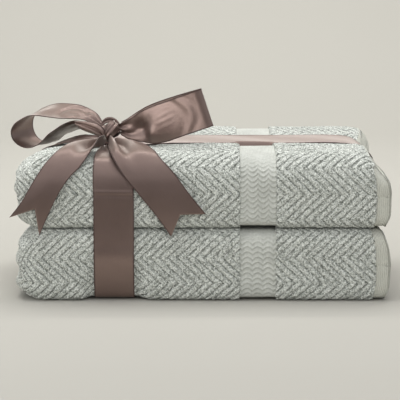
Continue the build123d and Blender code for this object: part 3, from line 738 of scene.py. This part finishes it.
def free_edge(which, x0, x1, name, mat):
    """The four pile layers that end at the back, above the rear fold, as rounded selvage edges."""
    base = UP_Z if which == "upper" else 0.0
    n = int((x1 - x0) / 3.0) + 2
    xs = np.linspace(x0, x1, n)
    V, F, C = [], [], []
    at = 0
    for k in range(4):
        zc = 2 * PLY + PLY * (k + 0.5) / 4
        a = np.linspace(-math.pi / 2, math.pi / 2, 11)
        P = np.zeros((n, 11, 3))
        X, A = np.meshgrid(xs, a, indexing="ij")
        P[..., 0] = X
        wave = noise(np.stack([X, np.full_like(X, 40.0 * k), np.zeros_like(X)], -1), 30.0, 70 + k)
        reach = 3.0 + (1.6, 0.2, 1.2, -0.2)[k] + 1.2 * wave
        P[..., 1] = 110.0 + np.cos(A) * reach
        P[..., 2] = zc + np.sin(A) * 2.85
        P[..., 2] += 0.25 * noise(P, 3.0, 80 + k)
        P[..., 1] += 0.4 * noise(P, 2.5, 90 + k)
        P[..., 2] += base
        if which == "upper":
            P[..., 2] += top_height(P[..., 0], P[..., 1]) * smooth(30, TALL, P[..., 2] - base)
        near = np.exp(-(np.maximum(np.abs(X - CROSS_X) - 19.6, 0) / 9.0) ** 2)
        dy, dz = push_inside(P[..., 1], P[..., 2], CROSS_RUN, 1.7)
        P[..., 1] += dy * near
        P[..., 2] += dz * near
        V.append(P.reshape(-1, 3))
        C.append(np.stack([X, A * 3 + 40 * k, np.zeros_like(X)], -1).reshape(-1, 3))
        F.append(grid_faces(n, 11, base=at))
        at += n * 11
    ob = make(name, np.vstack(V), np.vstack(F), mat, np.vstack(C))
    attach(ob, "stack")
    return ob


for which in ("lower", "upper"):
    mat = TERRY_U if which == "upper" else TERRY_L
    a = towel_zone(which, which + "_towel_terry_left", LEFT + 11.5, DOB_A, FINE, "round", "flat", mat, "terry", FINE, MID, COARSE)
    b = towel_zone(which, which + "_towel_dobby", DOB_A - 3.2, DOB_B + 3.2, 0.62, "flat", "flat", DOBBY, "dobby", 0.6, MID, COARSE)
    c = towel_zone(which, which + "_towel_terry_right", DOB_B, TERRY_END, FINE, "flat", "flat", mat, "terry", FINE, MID, COARSE)
    d = towel_zone(which, which + "_towel_hem", TERRY_END - 3.2, HEM_END, 0.7, "flat", "layers", HEM, "hem", FINE, MID, COARSE)
    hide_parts(which + "_towel_outer_wrap", which + "_towel_tucked_panel")
    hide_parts(which + "_towel_dobby_border")
    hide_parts(which + "_towel_end_hem")
    edge = free_edge(which, -163, 160, which + "_towel_selvage_edges", mat)


# ------------------------------------------------------------------ ribbon pieces
def strip(name, L, R, body, closed=False, across=17, bow=None, wide=RIB_W, thick=0.42, length=None, u_from=-1.0, u_to=1.0):
    """A ribbon between two edge curves with as many points; bow(s, u) moves it along its normal, s and u from 0 to 1."""
    L, R = np.asarray(L, float), np.asarray(R, float)
    u = 0.5 - 0.5 * np.cos(np.linspace(0, math.pi, across))
    u = 0.55 * u + 0.45 * np.linspace(0, 1, across)
    P = L[:, None] * (1 - u)[None, :, None] + R[:, None] * u[None, :, None]
    return strip_grid(name, P, u, body, closed, bow, wide, thick)


def strip_grid(name, P, u, body, closed=False, bow=None, wide=RIB_W, thick=0.42, extra=None):
    N = normals_of(P, wrap0=closed)
    n = len(P)
    s = np.linspace(0, 1, n, endpoint=not closed)
    S, U = np.meshgrid(s, u, indexing="ij")
    if bow is not None:
        P = P + N * bow(S, U)[..., None]
        N = normals_of(P, wrap0=closed)
    mid = P[:, P.shape[1] // 2]
    run = np.concatenate([[0], np.cumsum(np.linalg.norm(np.diff(mid, axis=0), axis=1))])
    cloth = np.stack([np.repeat(run[:, None], len(u), 1), (U - 0.5) * wide, np.zeros_like(U)], -1)
    half = thick / 2 * (1 + 0.9 * np.exp(-((0.5 - np.abs(U - 0.5)) * wide / 0.9) ** 2))
    top, bot = P + N * half[..., None], P - N * half[..., None]
    top[..., 2], bot[..., 2] = np.maximum(top[..., 2], 0.05), np.maximum(bot[..., 2], 0.0)
    nu, nv = P.shape[:2]
    V = np.vstack([top.reshape(-1, 3), bot.reshape(-1, 3)])
    C = np.vstack([cloth.reshape(-1, 3)] * 2)
    F = [grid_faces(nu, nv, wrap_u=closed), grid_faces(nu, nv, wrap_u=closed, base=nu * nv, flip=True)]
    off = nu * nv

    def rim(a):
        b = np.roll(a, -1) if closed else a[1:]
        a0 = a if closed else a[:-1]
        return np.stack([a0, b, b + off, a0 + off], 1)

    F.append(rim(np.arange(nu) * nv)[:, ::-1])
    F.append(rim(np.arange(nu) * nv + nv - 1))
    if not closed:
        a = np.arange(nv)
        F.append(np.stack([a[:-1], a[1:], a[1:] + off, a[:-1] + off], 1))
        a = np.arange(nv) + (nu - 1) * nv
        F.append(np.stack([a[:-1], a[1:], a[1:] + off, a[:-1] + off], 1)[:, ::-1])
    ob = make(name, V, np.vstack(F), SATIN, C)
    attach(ob, body)
    return ob


# crosswise band: round both towels, gathered where it passes under the knot
run, cross_len = spline(CROSS_RUN, 460, closed=True)
yy, zz = run[:, 0], run[:, 1]
on_top = smooth(100, 131, zz)
gath = on_top * smooth(98, 14, np.abs(yy - 4))
centre = CROSS_X + (PIVOT[0] - CROSS_X) * gath - 1.5 * on_top * smooth(-60, -110, yy)
half_w = 19.0 - 11.5 * gath ** 1.2
half_w = half_w - 1.0 * smooth(108, 131, zz) * (yy < 0)
left_e = np.stack([centre - half_w, yy, zz + 0.4], 1)
right_e = np.stack([centre + half_w, yy, zz + 0.4], 1)
G_CROSS = gath
CROSS_Y, CROSS_Z = yy, zz


def cross_bow(S, U):
    k = G_CROSS[:, None] * np.ones_like(U)
    pleats = np.sin(U * math.pi * 6.0 + 0.6) * (0.35 + 0.65 * k) * k * 1.7
    # one pressed crease on the front, from when the ribbon lay folded
    zc = CROSS_Z[:, None] + 0.8 * U
    crease = (0.6 * np.exp(-((zc - 103.6) / 1.2) ** 2) - 0.3 * np.exp(-((zc - 100.6) / 1.8) ** 2)) * (CROSS_Y[:, None] < -90)
    return -pleats * np.sin(U * math.pi) ** 0.3 - crease


ob = strip("ribbon_crosswise", left_e, right_e, "stack", closed=True, across=41, bow=cross_bow)
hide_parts("ribbon_cross_band")

# lengthwise band
run, length_len = spline(LENGTH_RUN, 560, closed=True)
xx, zz = run[:, 0], run[:, 1]
up = smooth(120, 136, zz)
gath = up * smooth(46, 10, np.abs(xx - PIVOT[0]))
shift = LENGTH_Y + (PIVOT[1] - LENGTH_Y) * gath
half_w = 19.0 - 11.0 * gath
lift = up * smooth(-62, -20, xx) * smooth(172, 146, xx)
near_e = np.stack([xx, shift - half_w, zz + 0.4 + 1.6 * lift + up * (1.0 + 3.0 * smooth(-146, -112, xx) * smooth(-96, -104, xx)) * smooth(-60, -100, xx)], 1)
far_e = np.stack([xx, shift + half_w, zz + 0.4 + 5.8 * lift + up * (8.0 * smooth(-146, -112, xx) * smooth(-94, -104, xx) - 4.5 * smooth(-140, -160, xx))], 1)
G_LEN = gath
LIFT = lift


def length_bow(S, U):
    k = G_LEN[:, None] * np.ones_like(U)
    pleats = np.sin(U * math.pi * 5.0) * k * 1.5
    ripple = LIFT[:, None] * (0.5 * np.sin(S * 60.0 + U * 3.0) * np.sin(U * math.pi))
    return -(pleats + ripple) - band_droop(xx[:, None] + 0 * U, U) * (up[:, None] > 0.5)


ob = strip("ribbon_lengthwise", near_e, far_e, "stack", closed=True, across=31, bow=length_bow)
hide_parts("ribbon_length_band")

# left loop: laid out in its own tilted plane, from the knot out on top and back underneath
yaw, tilt = math.radians(36), math.radians(7)
OUT = np.array([-math.cos(yaw), math.sin(yaw), 0.0])
ACROSS = np.array([math.sin(yaw) * math.cos(tilt), math.cos(yaw) * math.cos(tilt), math.sin(tilt)])
UPV = np.cross(ACROSS, OUT)
if UPV[2] < 0:
    UPV = -UPV
UPV = UPV / np.linalg.norm(UPV)
LEFT_LOOP = [  # near edge out, up, across; far edge out, up, across
    (9.0, 3.6, -2.5, 9.0, 4.4, 5.5), (14.6, 6.5, -2.5, 14.6, 7.5, 9), (24, 12.0, -8, 24, 13.6, 14), (35, 14.0, -15, 36.5, 17.4, 18),
    (48, 14.4, -18.6, 50, 20.8, 19), (62, 15.0, -19, 66, 21.6, 19), (79, 15.6, -19, 83, 20.6, 19),
    (89, 14.6, -19, 96, 17.2, 19), (100.5, 10.0, -19, 107, 12.8, 19), (110, 4.2, -19, 114.8, 6.0, 19),
    (114.6, -2.9, -19, 117.8, -1.2, 19), (113.9, -10.0, -19, 117.6, -8.6, 19), (108.6, -15.4, -19, 113.6, -15.6, 19),
    (100, -18.6, -19, 104.8, -20.6, 19), (91, -18.6, -19, 94.0, -20.2, 19), (81.9, -15.8, -19, 84, -17.4, 19),
    (72.5, -10.2, -19, 74, -10.8, 19), (64.4, -3.6, -19, 65.5, -8.0, 18.6), (54.8, 2.0, -18.6, 57.0, -5.0, 17),
    (44.0, 8.0, -17, 46, -2.0, 12), (32.5, 11.5, -13, 33.5, 0.5, 7), (22, 9.0, -8, 22, 0.5, 3), (15, 4.5, -5, 15, 0.0, 1), (9.5, 2.0, -3.5, 9.5, -0.5, 0.5)]
tab = np.array(LEFT_LOOP, float)
near = PIVOT + tab[:, 0:1] * OUT + tab[:, 1:2] * UPV + tab[:, 2:3] * ACROSS
far = PIVOT + tab[:, 3:4] * OUT + tab[:, 4:5] * UPV + tab[:, 5:6] * ACROSS
both, loop_len = spline(np.hstack([near, far]), 190)


def left_bow(S, U):
    ends = 1 - smooth(0.0, 0.22, S) * smooth(1.0, 0.76, S)
    pleats = 1.5 * np.sin(U * math.pi * 5.0 + 0.4) * ends ** 1.3 * np.sin(U * math.pi) ** 0.4
    belly = 1.4 * np.sin(U * math.pi) * smooth(0.02, 0.2, S) * smooth(0.48, 0.36, S)
    r = np.hypot((S - 0.17) / 0.075, (U - 0.5) / 0.42)
    dent = 1.7 * np.exp(-((S - 0.31) / 0.06) ** 2) * np.exp(-((U - 0.45) / 0.3) ** 2) - 1.3 * np.exp(-((r - 0.8) / 0.22) ** 2) * smooth(0.5, 0.4, S)
    curl = 0.8 * np.sin(U * math.pi * 2) * np.exp(-((S - 0.56) / 0.1) ** 2)
    return pleats + belly - dent + curl


ob = strip("bow_left_loop", both[:, :3], both[:, 3:], "left_loop", across=33, bow=left_bow)
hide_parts("bow_loop_left")

# right loop: on edge, so both its runs stand up
WIDE = np.array([-0.31, 0.19, 0.93]); WIDE = WIDE / np.linalg.norm(WIDE)
RIGHT_LOOP = [
    (-80.5, -2.5, 152.6, 5.5, 5), (-72, -8.5, 152.8, 10.8, 8.5), (-60.4, -18, 154.9, 14.5, 13.5), (-49.2, -27.5, 158.0, 18.2, 17.5),
    (-37.7, -36, 162.0, 19.4, 18.8), (-26.3, -44, 166.3, 19, 19), (-15.5, -52, 170.7, 19, 19), (-5.2, -58.6, 174.8, 19, 19),
    (2.6, -62.0, 177.7, 19, 19), (6.6, -60.8, 179.2, 19, 19), (6.2, -56.6, 179.0, 19, 19), (0.5, -50, 177.0, 19, 19),
    (-8.5, -41.5, 173.9, 19, 19), (-20, -32, 169.8, 19, 19), (-33, -21.5, 165.3, 18.5, 18.5), (-47, -11, 160.6, 16, 17),
    (-60, -3, 157.0, 11, 13), (-70.5, 4, 155.2, 6.5, 8), (-77.6, 9.5, 154.0, 4, 5)]
tab = np.array(RIGHT_LOOP, float)
low = tab[:, :3] - tab[:, 3:4] * WIDE
high = tab[:, :3] + tab[:, 4:5] * WIDE
both, _ = spline(np.hstack([low, high]), 190)


def right_bow(S, U):
    front = smooth(0.5, 0.42, S)
    ends = 1 - smooth(0.0, 0.13, S) * smooth(1.0, 0.86, S)
    pleats = 1.7 * np.sin(U * math.pi * 4.0 + 0.5) * ends ** 1.3 * np.sin(U * math.pi) ** 0.4
    # a soft hollow runs from the knot into the face, the face swells, then rolls back near the right end
    hollow = -front * 4.2 * np.exp(-((S - 0.125) / 0.055) ** 2) * np.exp(-((U - 0.52) / 0.30) ** 2)
    swell = front * (2.4 * np.sin(math.pi * U) * np.exp(-((S - 0.25) / 0.08) ** 2)
                     + 2.2 * np.exp(-((S - 0.185) / 0.03) ** 2 - ((U - 0.30) / 0.24) ** 2))
    fold = front * 1.5 * np.exp(-((S - 0.10 - 0.05 * U) / 0.03) ** 2) * smooth(0.45, 0.8, U)
    arc = S - 0.335 - 0.055 * np.sin(math.pi * U)
    ring_ = front * 0.42 * np.sin(arc * 75) * np.exp(-((arc - 0.02) / 0.05) ** 2)
    wrinkle = front * 0.16 * np.sin(U * 42 - S * 30) * np.exp(-((S - 0.275) / 0.04) ** 2 - ((U - 0.62) / 0.25) ** 2)
    return pleats + hollow + swell + fold + ring_ + wrinkle


ob = strip("bow_right_loop", both[:, :3], both[:, 3:], "right_loop", across=37, bow=right_bow)
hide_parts("bow_loop_right")


# tails: outlines laid on the run over the front edge, cut to a swallowtail
TRUN, TRUN_LEN = spline(TAIL_RUN, 900)
TS = np.linspace(0, TRUN_LEN, len(TRUN))


def along_run(p):
    """Run length nearest to (y, z)."""
    return TS[((TRUN - np.array(p)) ** 2).sum(1).argmin()]


def tail(name, body, node, left_pts, right_pts, notch, bow, rows=120, across=37):
    a = np.array([(x, along_run((y, z))) for x, y, z in left_pts])
    b = np.array([(x, along_run((y, z))) for x, y, z in right_pts])
    nx = np.array([notch[0], along_run((-121.6, notch[1]))])
    La, _ = spline(a, rows)
    Rb, _ = spline(b, rows)
    u = np.linspace(0, 1, across)
    s = np.linspace(0, 1, rows)
    E = np.where((u < 0.5)[:, None], La[-1] * (1 - 2 * u[:, None]) + nx * 2 * u[:, None],
                 nx * (2 - 2 * u[:, None]) + Rb[-1] * (2 * u[:, None] - 1))
    T = La[0] * (1 - u[:, None]) + Rb[0] * u[:, None]
    S, U = s[:, None, None], u[None, :, None]
    ease = smooth(0.55, 1.0, s)[:, None, None]
    flat_end = La[-1] * (1 - U) + Rb[-1] * U
    G = La[:, None] * (1 - U) + Rb[:, None] * U + ease * (E[None] - flat_end)
    y = np.interp(G[..., 1], TS, TRUN[:, 0])
    z = np.interp(G[..., 1], TS, TRUN[:, 1])
    P = np.stack([G[..., 0], y, z], -1)
    dy = np.gradient(TRUN[:, 0]); dz = np.gradient(TRUN[:, 1])
    ln = np.hypot(dy, dz)
    ny = np.interp(G[..., 1], TS, dz / ln); nz = np.interp(G[..., 1], TS, -dy / ln)
    d = bow(G[..., 0], G[..., 1], np.broadcast_to(S[..., 0], P.shape[:2]), np.broadcast_to(U[..., 0], P.shape[:2]))
    P[..., 1] += ny * d
    P[..., 2] += nz * d
    ob = strip_grid(name, P, u, body)
    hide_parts(node)
    return ob


LT_L = [(-95.5, -10, 140.9), (-99, -27, 142.7), (-104.0, -43, 143.2), (-112.4, -56, 143), (-124.5, -75.3, 142.2), (-132.7, -92.1, 140.2),
        (-138.2, -102.4, 137.6), (-147.9, -114.2, 126.4), (-157.9, -119.3, 110.5), (-167.3, -120.9, 94.7), (-178.2, -121.6, 80.6)]
LT_R = [(-91.8, -10, 140.9), (-94.0, -30, 142.8), (-97.6, -58, 143.1), (-99.6, -90, 140.8), (-105.6, -106.5, 134.8), (-112.6, -114, 126.2), (-121.6, -118.3, 117.6),
        (-131.7, -120.6, 103.4), (-142.5, -121.6, 81.6), (-150.5, -121.8, 63)]


def left_tail_bow(x, g, S, U):
    near = smooth(0.0, 0.10, S) * smooth(0.62, 0.34, S)
    hollow = -9.0 * near * np.exp(-((U - 0.58) / 0.27) ** 2)
    rim = 3.4 * near * np.exp(-((U - 1.0) / 0.13) ** 2) + 3.6 * near
    roll = 2.4 * np.exp(-((S - 0.47) / 0.09) ** 2) * np.sin(math.pi * U)
    wave = 1.3 * np.sin(math.pi * (S * 2.1 + 0.3) + U * 2.2) * smooth(0.45, 0.7, S)
    return np.maximum(hollow + rim + roll, -4.6) + wave + 0.6


ob = tail("bow_left_tail", "left_tail", "bow_tail_left", LT_L, LT_R, (-154.2, 88.8), left_tail_bow)

RT_L = [(-90.6, -9, 140.6), (-90.2, -28, 142.8), (-88.9, -46, 143.2), (-87.3, -78, 142.2), (-83.8, -102, 137.8), (-79.4, -111.8, 130.6), (-72.6, -117.2, 120.6),
        (-59.8, -120.6, 105.2), (-48, -121.6, 90.7), (-38.7, -121.8, 78.9), (-27, -121.8, 62.3)]
RT_R = [(-85.6, -7, 140.2), (-81.5, -19, 142.0), (-74.6, -34.6, 142.9), (-60.2, -52, 143.2), (-50.4, -76, 142.4), (-43.4, -95, 139.8), (-36.5, -108.5, 133.6), (-24.3, -117.0, 121.6),
        (-8.6, -120.8, 101.3), (5.6, -121.8, 83.9)]


def right_tail_bow(x, g, S, U):
    near = smooth(0.0, 0.12, S) * smooth(0.66, 0.30, S)
    ridge = 5.5 * near * np.exp(-((U - 0.16) / 0.11) ** 2)
    valley = -4.5 * near * np.exp(-((U - 0.40) / 0.12) ** 2)
    crown = 3.2 * near * np.exp(-((U - 0.74) / 0.2) ** 2)
    edge = -1.5 * near * np.exp(-((U - 0.0) / 0.07) ** 2)
    wave = 1.2 * np.sin(math.pi * (S * 2.0) + U * 2.6) * smooth(0.45, 0.75, S)
    return np.maximum(ridge + valley + crown + edge, -2.6) + wave + 0.8


ob = tail("bow_right_tail", "right_tail", "bow_tail_right", RT_L, RT_R, (-18.4, 83.5), right_tail_bow)


# knot: the ribbon wrapped round the middle, pinched low at the front and fanned out over the top
def wrap(name, centre, axis, r_axis, turn0, turn1, widths, radii, shift, rows=120, across=41, folds=5, amp=1.1, seed=0):
    """A strip that goes round axis; widths, radii and shift are by turn (0 to 1)."""
    axis = np.asarray(axis, float) / np.linalg.norm(axis)
    e1 = np.asarray(r_axis, float)
    e1 = e1 - axis * (e1 @ axis)
    e1 = e1 / np.linalg.norm(e1)
    e2 = np.cross(axis, e1)
    t = np.linspace(0, 1, rows)
    th = np.radians(turn0 + (turn1 - turn0) * t)
    u = np.linspace(-1, 1, across)
    wd = np.interp(t, widths[0], widths[1])[:, None]
    rd = np.interp(t, radii[0], radii[1])[:, None]
    sh = np.interp(t, shift[0], shift[1])[:, None]
    A = u[None, :] * wd / 2 + sh
    round_ = 1 - 0.42 * np.abs(u[None, :]) ** 2.4
    R = rd * round_ + amp * np.sin(u[None, :] * math.pi * folds / 2 + seed + 0.7 * np.sin(t[:, None] * 5 + seed)) * (1 - 0.4 * np.abs(u[None, :]))
    P = np.asarray(centre)[None, None] + A[..., None] * axis + (np.cos(th)[:, None] * R)[..., None] * e1 + (np.sin(th)[:, None] * R)[..., None] * e2
    return P, (u + 1) / 2


KN = PIVOT
P, u = wrap("k", KN + np.array([0.8, 1.0, -1.2]), (0.97, -0.18, 0.12), (0.0, -0.62, -0.78), 0, 360,
            ([0, 0.12, 0.3, 0.55, 0.8, 1.0], [9, 13, 19, 20, 14, 9]), ([0, 0.1, 0.3, 0.5, 0.75, 1], [8.2, 8.6, 9.4, 9.8, 8.8, 8.2]),
            ([0, 0.3, 0.6, 1], [-1.5, 0.5, 1.0, -1.5]), folds=3, amp=1.4, seed=1)
knot = strip_grid("bow_centre_knot", P, u, "stack")
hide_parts("bow_knot")

# the lobe that turns over the right of the knot, and the gathers that run in from the left
lobe_lo = [(-93.2, -5.5, 142.6), (-89.6, -7.8, 144.6), (-85.6, -7.6, 147.0), (-82.4, -5.0, 150.2), (-81.2, -0.5, 153.4), (-83.5, 4.5, 156.0)]
lobe_hi = [(-94.4, -6.2, 143.2), (-95.0, -9.4, 148.2), (-93.2, -10.2, 153.2), (-90.0, -7.8, 157.4), (-87.0, -2.8, 160.4), (-86.6, 3.4, 161.6)]
both, _ = spline(np.hstack([np.array(lobe_lo, float), np.array(lobe_hi, float)]), 60)
lobe = strip("bow_knot_right_lobe", both[:, :3], both[:, 3:], "stack", across=25,
             bow=lambda S, U: 2.4 * np.sin(math.pi * U) * np.sin(math.pi * np.clip(S * 1.1, 0, 1)) ** 0.7 + 0.7 * np.sin(U * 14 + 2 * S) * np.sin(math.pi * U))
gat_lo = [(-93.4, -5.8, 142.8), (-100.0, -8.4, 146.2), (-109.0, -6.5, 149.3), (-117.0, -2.5, 152.0), (-123.0, 4.0, 154.6)]
gat_hi = [(-92.4, -7.0, 144.4), (-94.6, -10.0, 151.6), (-100.0, -8.4, 157.6), (-109.0, -3.0, 160.0), (-118.0, 3.0, 160.6), (-125.0, 10.0, 159.6)]
gat_lo = spline(gat_lo, 9)[0]
gat_hi = spline(gat_hi, 9)[0]
both, _ = spline(np.hstack([np.array(gat_lo, float), np.array(gat_hi, float)]), 60)
gath_ = strip("bow_knot_left_gathers", both[:, :3], both[:, 3:], "stack", across=33,
              bow=lambda S, U: -(2.0 * np.sin(math.pi * U) + 1.5 * np.sin(U * 11.5 - 2 * S) * np.sin(math.pi * U) ** 0.5))
arch_lo = [(-101, 4, 152), (-96, 8, 157), (-90, 9, 158.5), (-84, 8, 156), (-80, 5, 151)]
arch_hi = [(-101, 7, 154), (-96, 11, 162), (-90, 12, 163.5), (-84, 11, 161), (-79, 8, 154)]
both, _ = spline(np.hstack([np.array(arch_lo, float), np.array(arch_hi, float)]), 50)
arch = strip("bow_knot_rear_turn", both[:, :3], both[:, 3:], "stack", across=17,
             bow=lambda S, U: 0.8 * np.sin(U * 9) * np.sin(math.pi * U))


# ------------------------------------------------------------------ stage, light, camera
def cyclorama():
    m, nt, b = nodes_for("paper_sweep")
    t = Net(nt)
    col = t.mix(t.noise(1.3, 2.0, 0.5, t.coords()), (0.404, 0.394, 0.357, 1), (0.418, 0.407, 0.370, 1))
    t.put(b.inputs["Base Color"], col)
    b.inputs["Roughness"].default_value = 0.95
    b.inputs["Specular IOR Level"].default_value = 0.1
    prof = [(-4000, 0), (1500, 0)]
    for k in range(1, 25):
        a = math.pi / 2 * k / 24
        prof.append((1500 + 1400 * math.sin(a), 1400 * (1 - math.cos(a))))
    prof.append((2900, 5000))
    xs = np.linspace(-5000, 5000, 9)
    P = np.array([[(x, y, z) for (y, z) in prof] for x in xs], float)
    ob = make("floor_sweep", P, grid_faces(len(xs), len(prof)), m)


cyclorama()


def dark_flag():
    """A black card on the floor well in front, seen only by reflections, as studios lay one for satin."""
    m, nt, b = nodes_for("black_card")
    b.inputs["Base Color"].default_value = (0.05, 0.045, 0.042, 1)
    b.inputs["Roughness"].default_value = 1.0
    b.inputs["Specular IOR Level"].default_value = 0.0
    xs, ys = np.linspace(-2500, 2500, 5), np.linspace(-3600, -390, 5)
    P = np.array([[(x, y, 1.5) for y in ys] for x in xs], float)
    ob = make("floor_black_card", P, grid_faces(5, 5), m)
    ob.visible_camera = False
    ob.visible_diffuse = False
    ob.visible_shadow = False
    ob.visible_transmission = False


dark_flag()


def area_light(name, where, aim, size_x, size_y, watts, colour):
    d = bpy.data.lights.new(name, "AREA")
    d.shape = "RECTANGLE"
    d.size, d.size_y, d.energy, d.color = size_x, size_y, watts, colour
    o = bpy.data.objects.new(name, d)
    bpy.context.scene.collection.objects.link(o)
    o.location = where
    v = np.array(aim, float) - np.array(where, float)
    from mathutils import Vector
    o.rotation_mode = "QUATERNION"
    o.rotation_quaternion = Vector(v).to_track_quat("-Z", "Y")
    return o


area_light("overhead", (-0.15, 0.20, 1.7), (0, 0.03, 0), 1.7, 1.3, 29.0, (1.0, 0.985, 0.96))
over = bpy.context.scene.objects["overhead"]
over.visible_glossy = False
gloss = area_light("overhead_gloss", (-0.15, 0.20, 1.7), (0, 0.03, 0), 1.7, 1.3, 22.0, (1.0, 0.99, 0.975))
gloss.visible_diffuse = False
gloss.visible_camera = False
fill = area_light("front_fill", (0.3, -2.9, 1.1), (0, 0, 0.05), 2.4, 1.6, 40.0, (1.0, 0.99, 0.97))
fill.visible_glossy = False
area_light("left_panel", (-1.5, -0.55, 0.35), (0, 0, 0.12), 0.9, 0.7, 6.5, (1.0, 0.97, 0.95))
area_light("backdrop_light", (0.0, 1.3, 2.3), (0, 2.7, 0.7), 3.0, 0.8, 54.0, (1.0, 0.985, 0.96))
rear = area_light("rear_strip", (0.12, 1.6, 0.62), (0.02, 0.0, 0.14), 1.3, 0.4, 2.7, (1.0, 0.985, 0.965))
rear.visible_camera = False
rear.visible_diffuse = False
world = bpy.data.worlds.new("studio")
bpy.context.scene.world = world
world.use_nodes = True
bg = world.node_tree.nodes["Background"]
bg.inputs[0].default_value = (0.93, 0.95, 1.0, 1)
# the room is darker low down at the front than above and behind
wn = world.node_tree
wc = wn.nodes.new("ShaderNodeTexCoord")
ws = wn.nodes.new("ShaderNodeSeparateXYZ")
wn.links.new(wc.outputs["Generated"], ws.inputs[0])
wt = Net(wn)
lowf = wt.math("SUBTRACT", wt.math("MULTIPLY", ws.outputs[1], 0.7), wt.math("MULTIPLY", ws.outputs[2], -1.3))
wt.put(bg.inputs[1], wt.ramp(lowf, -0.60, 0.45, 0.15, 0.60))

cam = bpy.data.cameras.new("camera")
cam_ob = bpy.data.objects.new("camera", cam)
bpy.context.scene.collection.objects.link(cam_ob)
elev = math.radians(7.5)
cam_ob.location = (0.0, -0.118 - 1.6 * math.cos(elev), 0.0966 + 1.6 * math.sin(elev))
cam_ob.rotation_euler = (math.pi / 2 - elev, 0, 0)
cam.sensor_width = 36.0
cam.lens = 153.8
cam.clip_start, cam.clip_end = 0.05, 50.0
bpy.context.scene.camera = cam_ob
bpy.context.scene.view_settings.view_transform = "Standard"
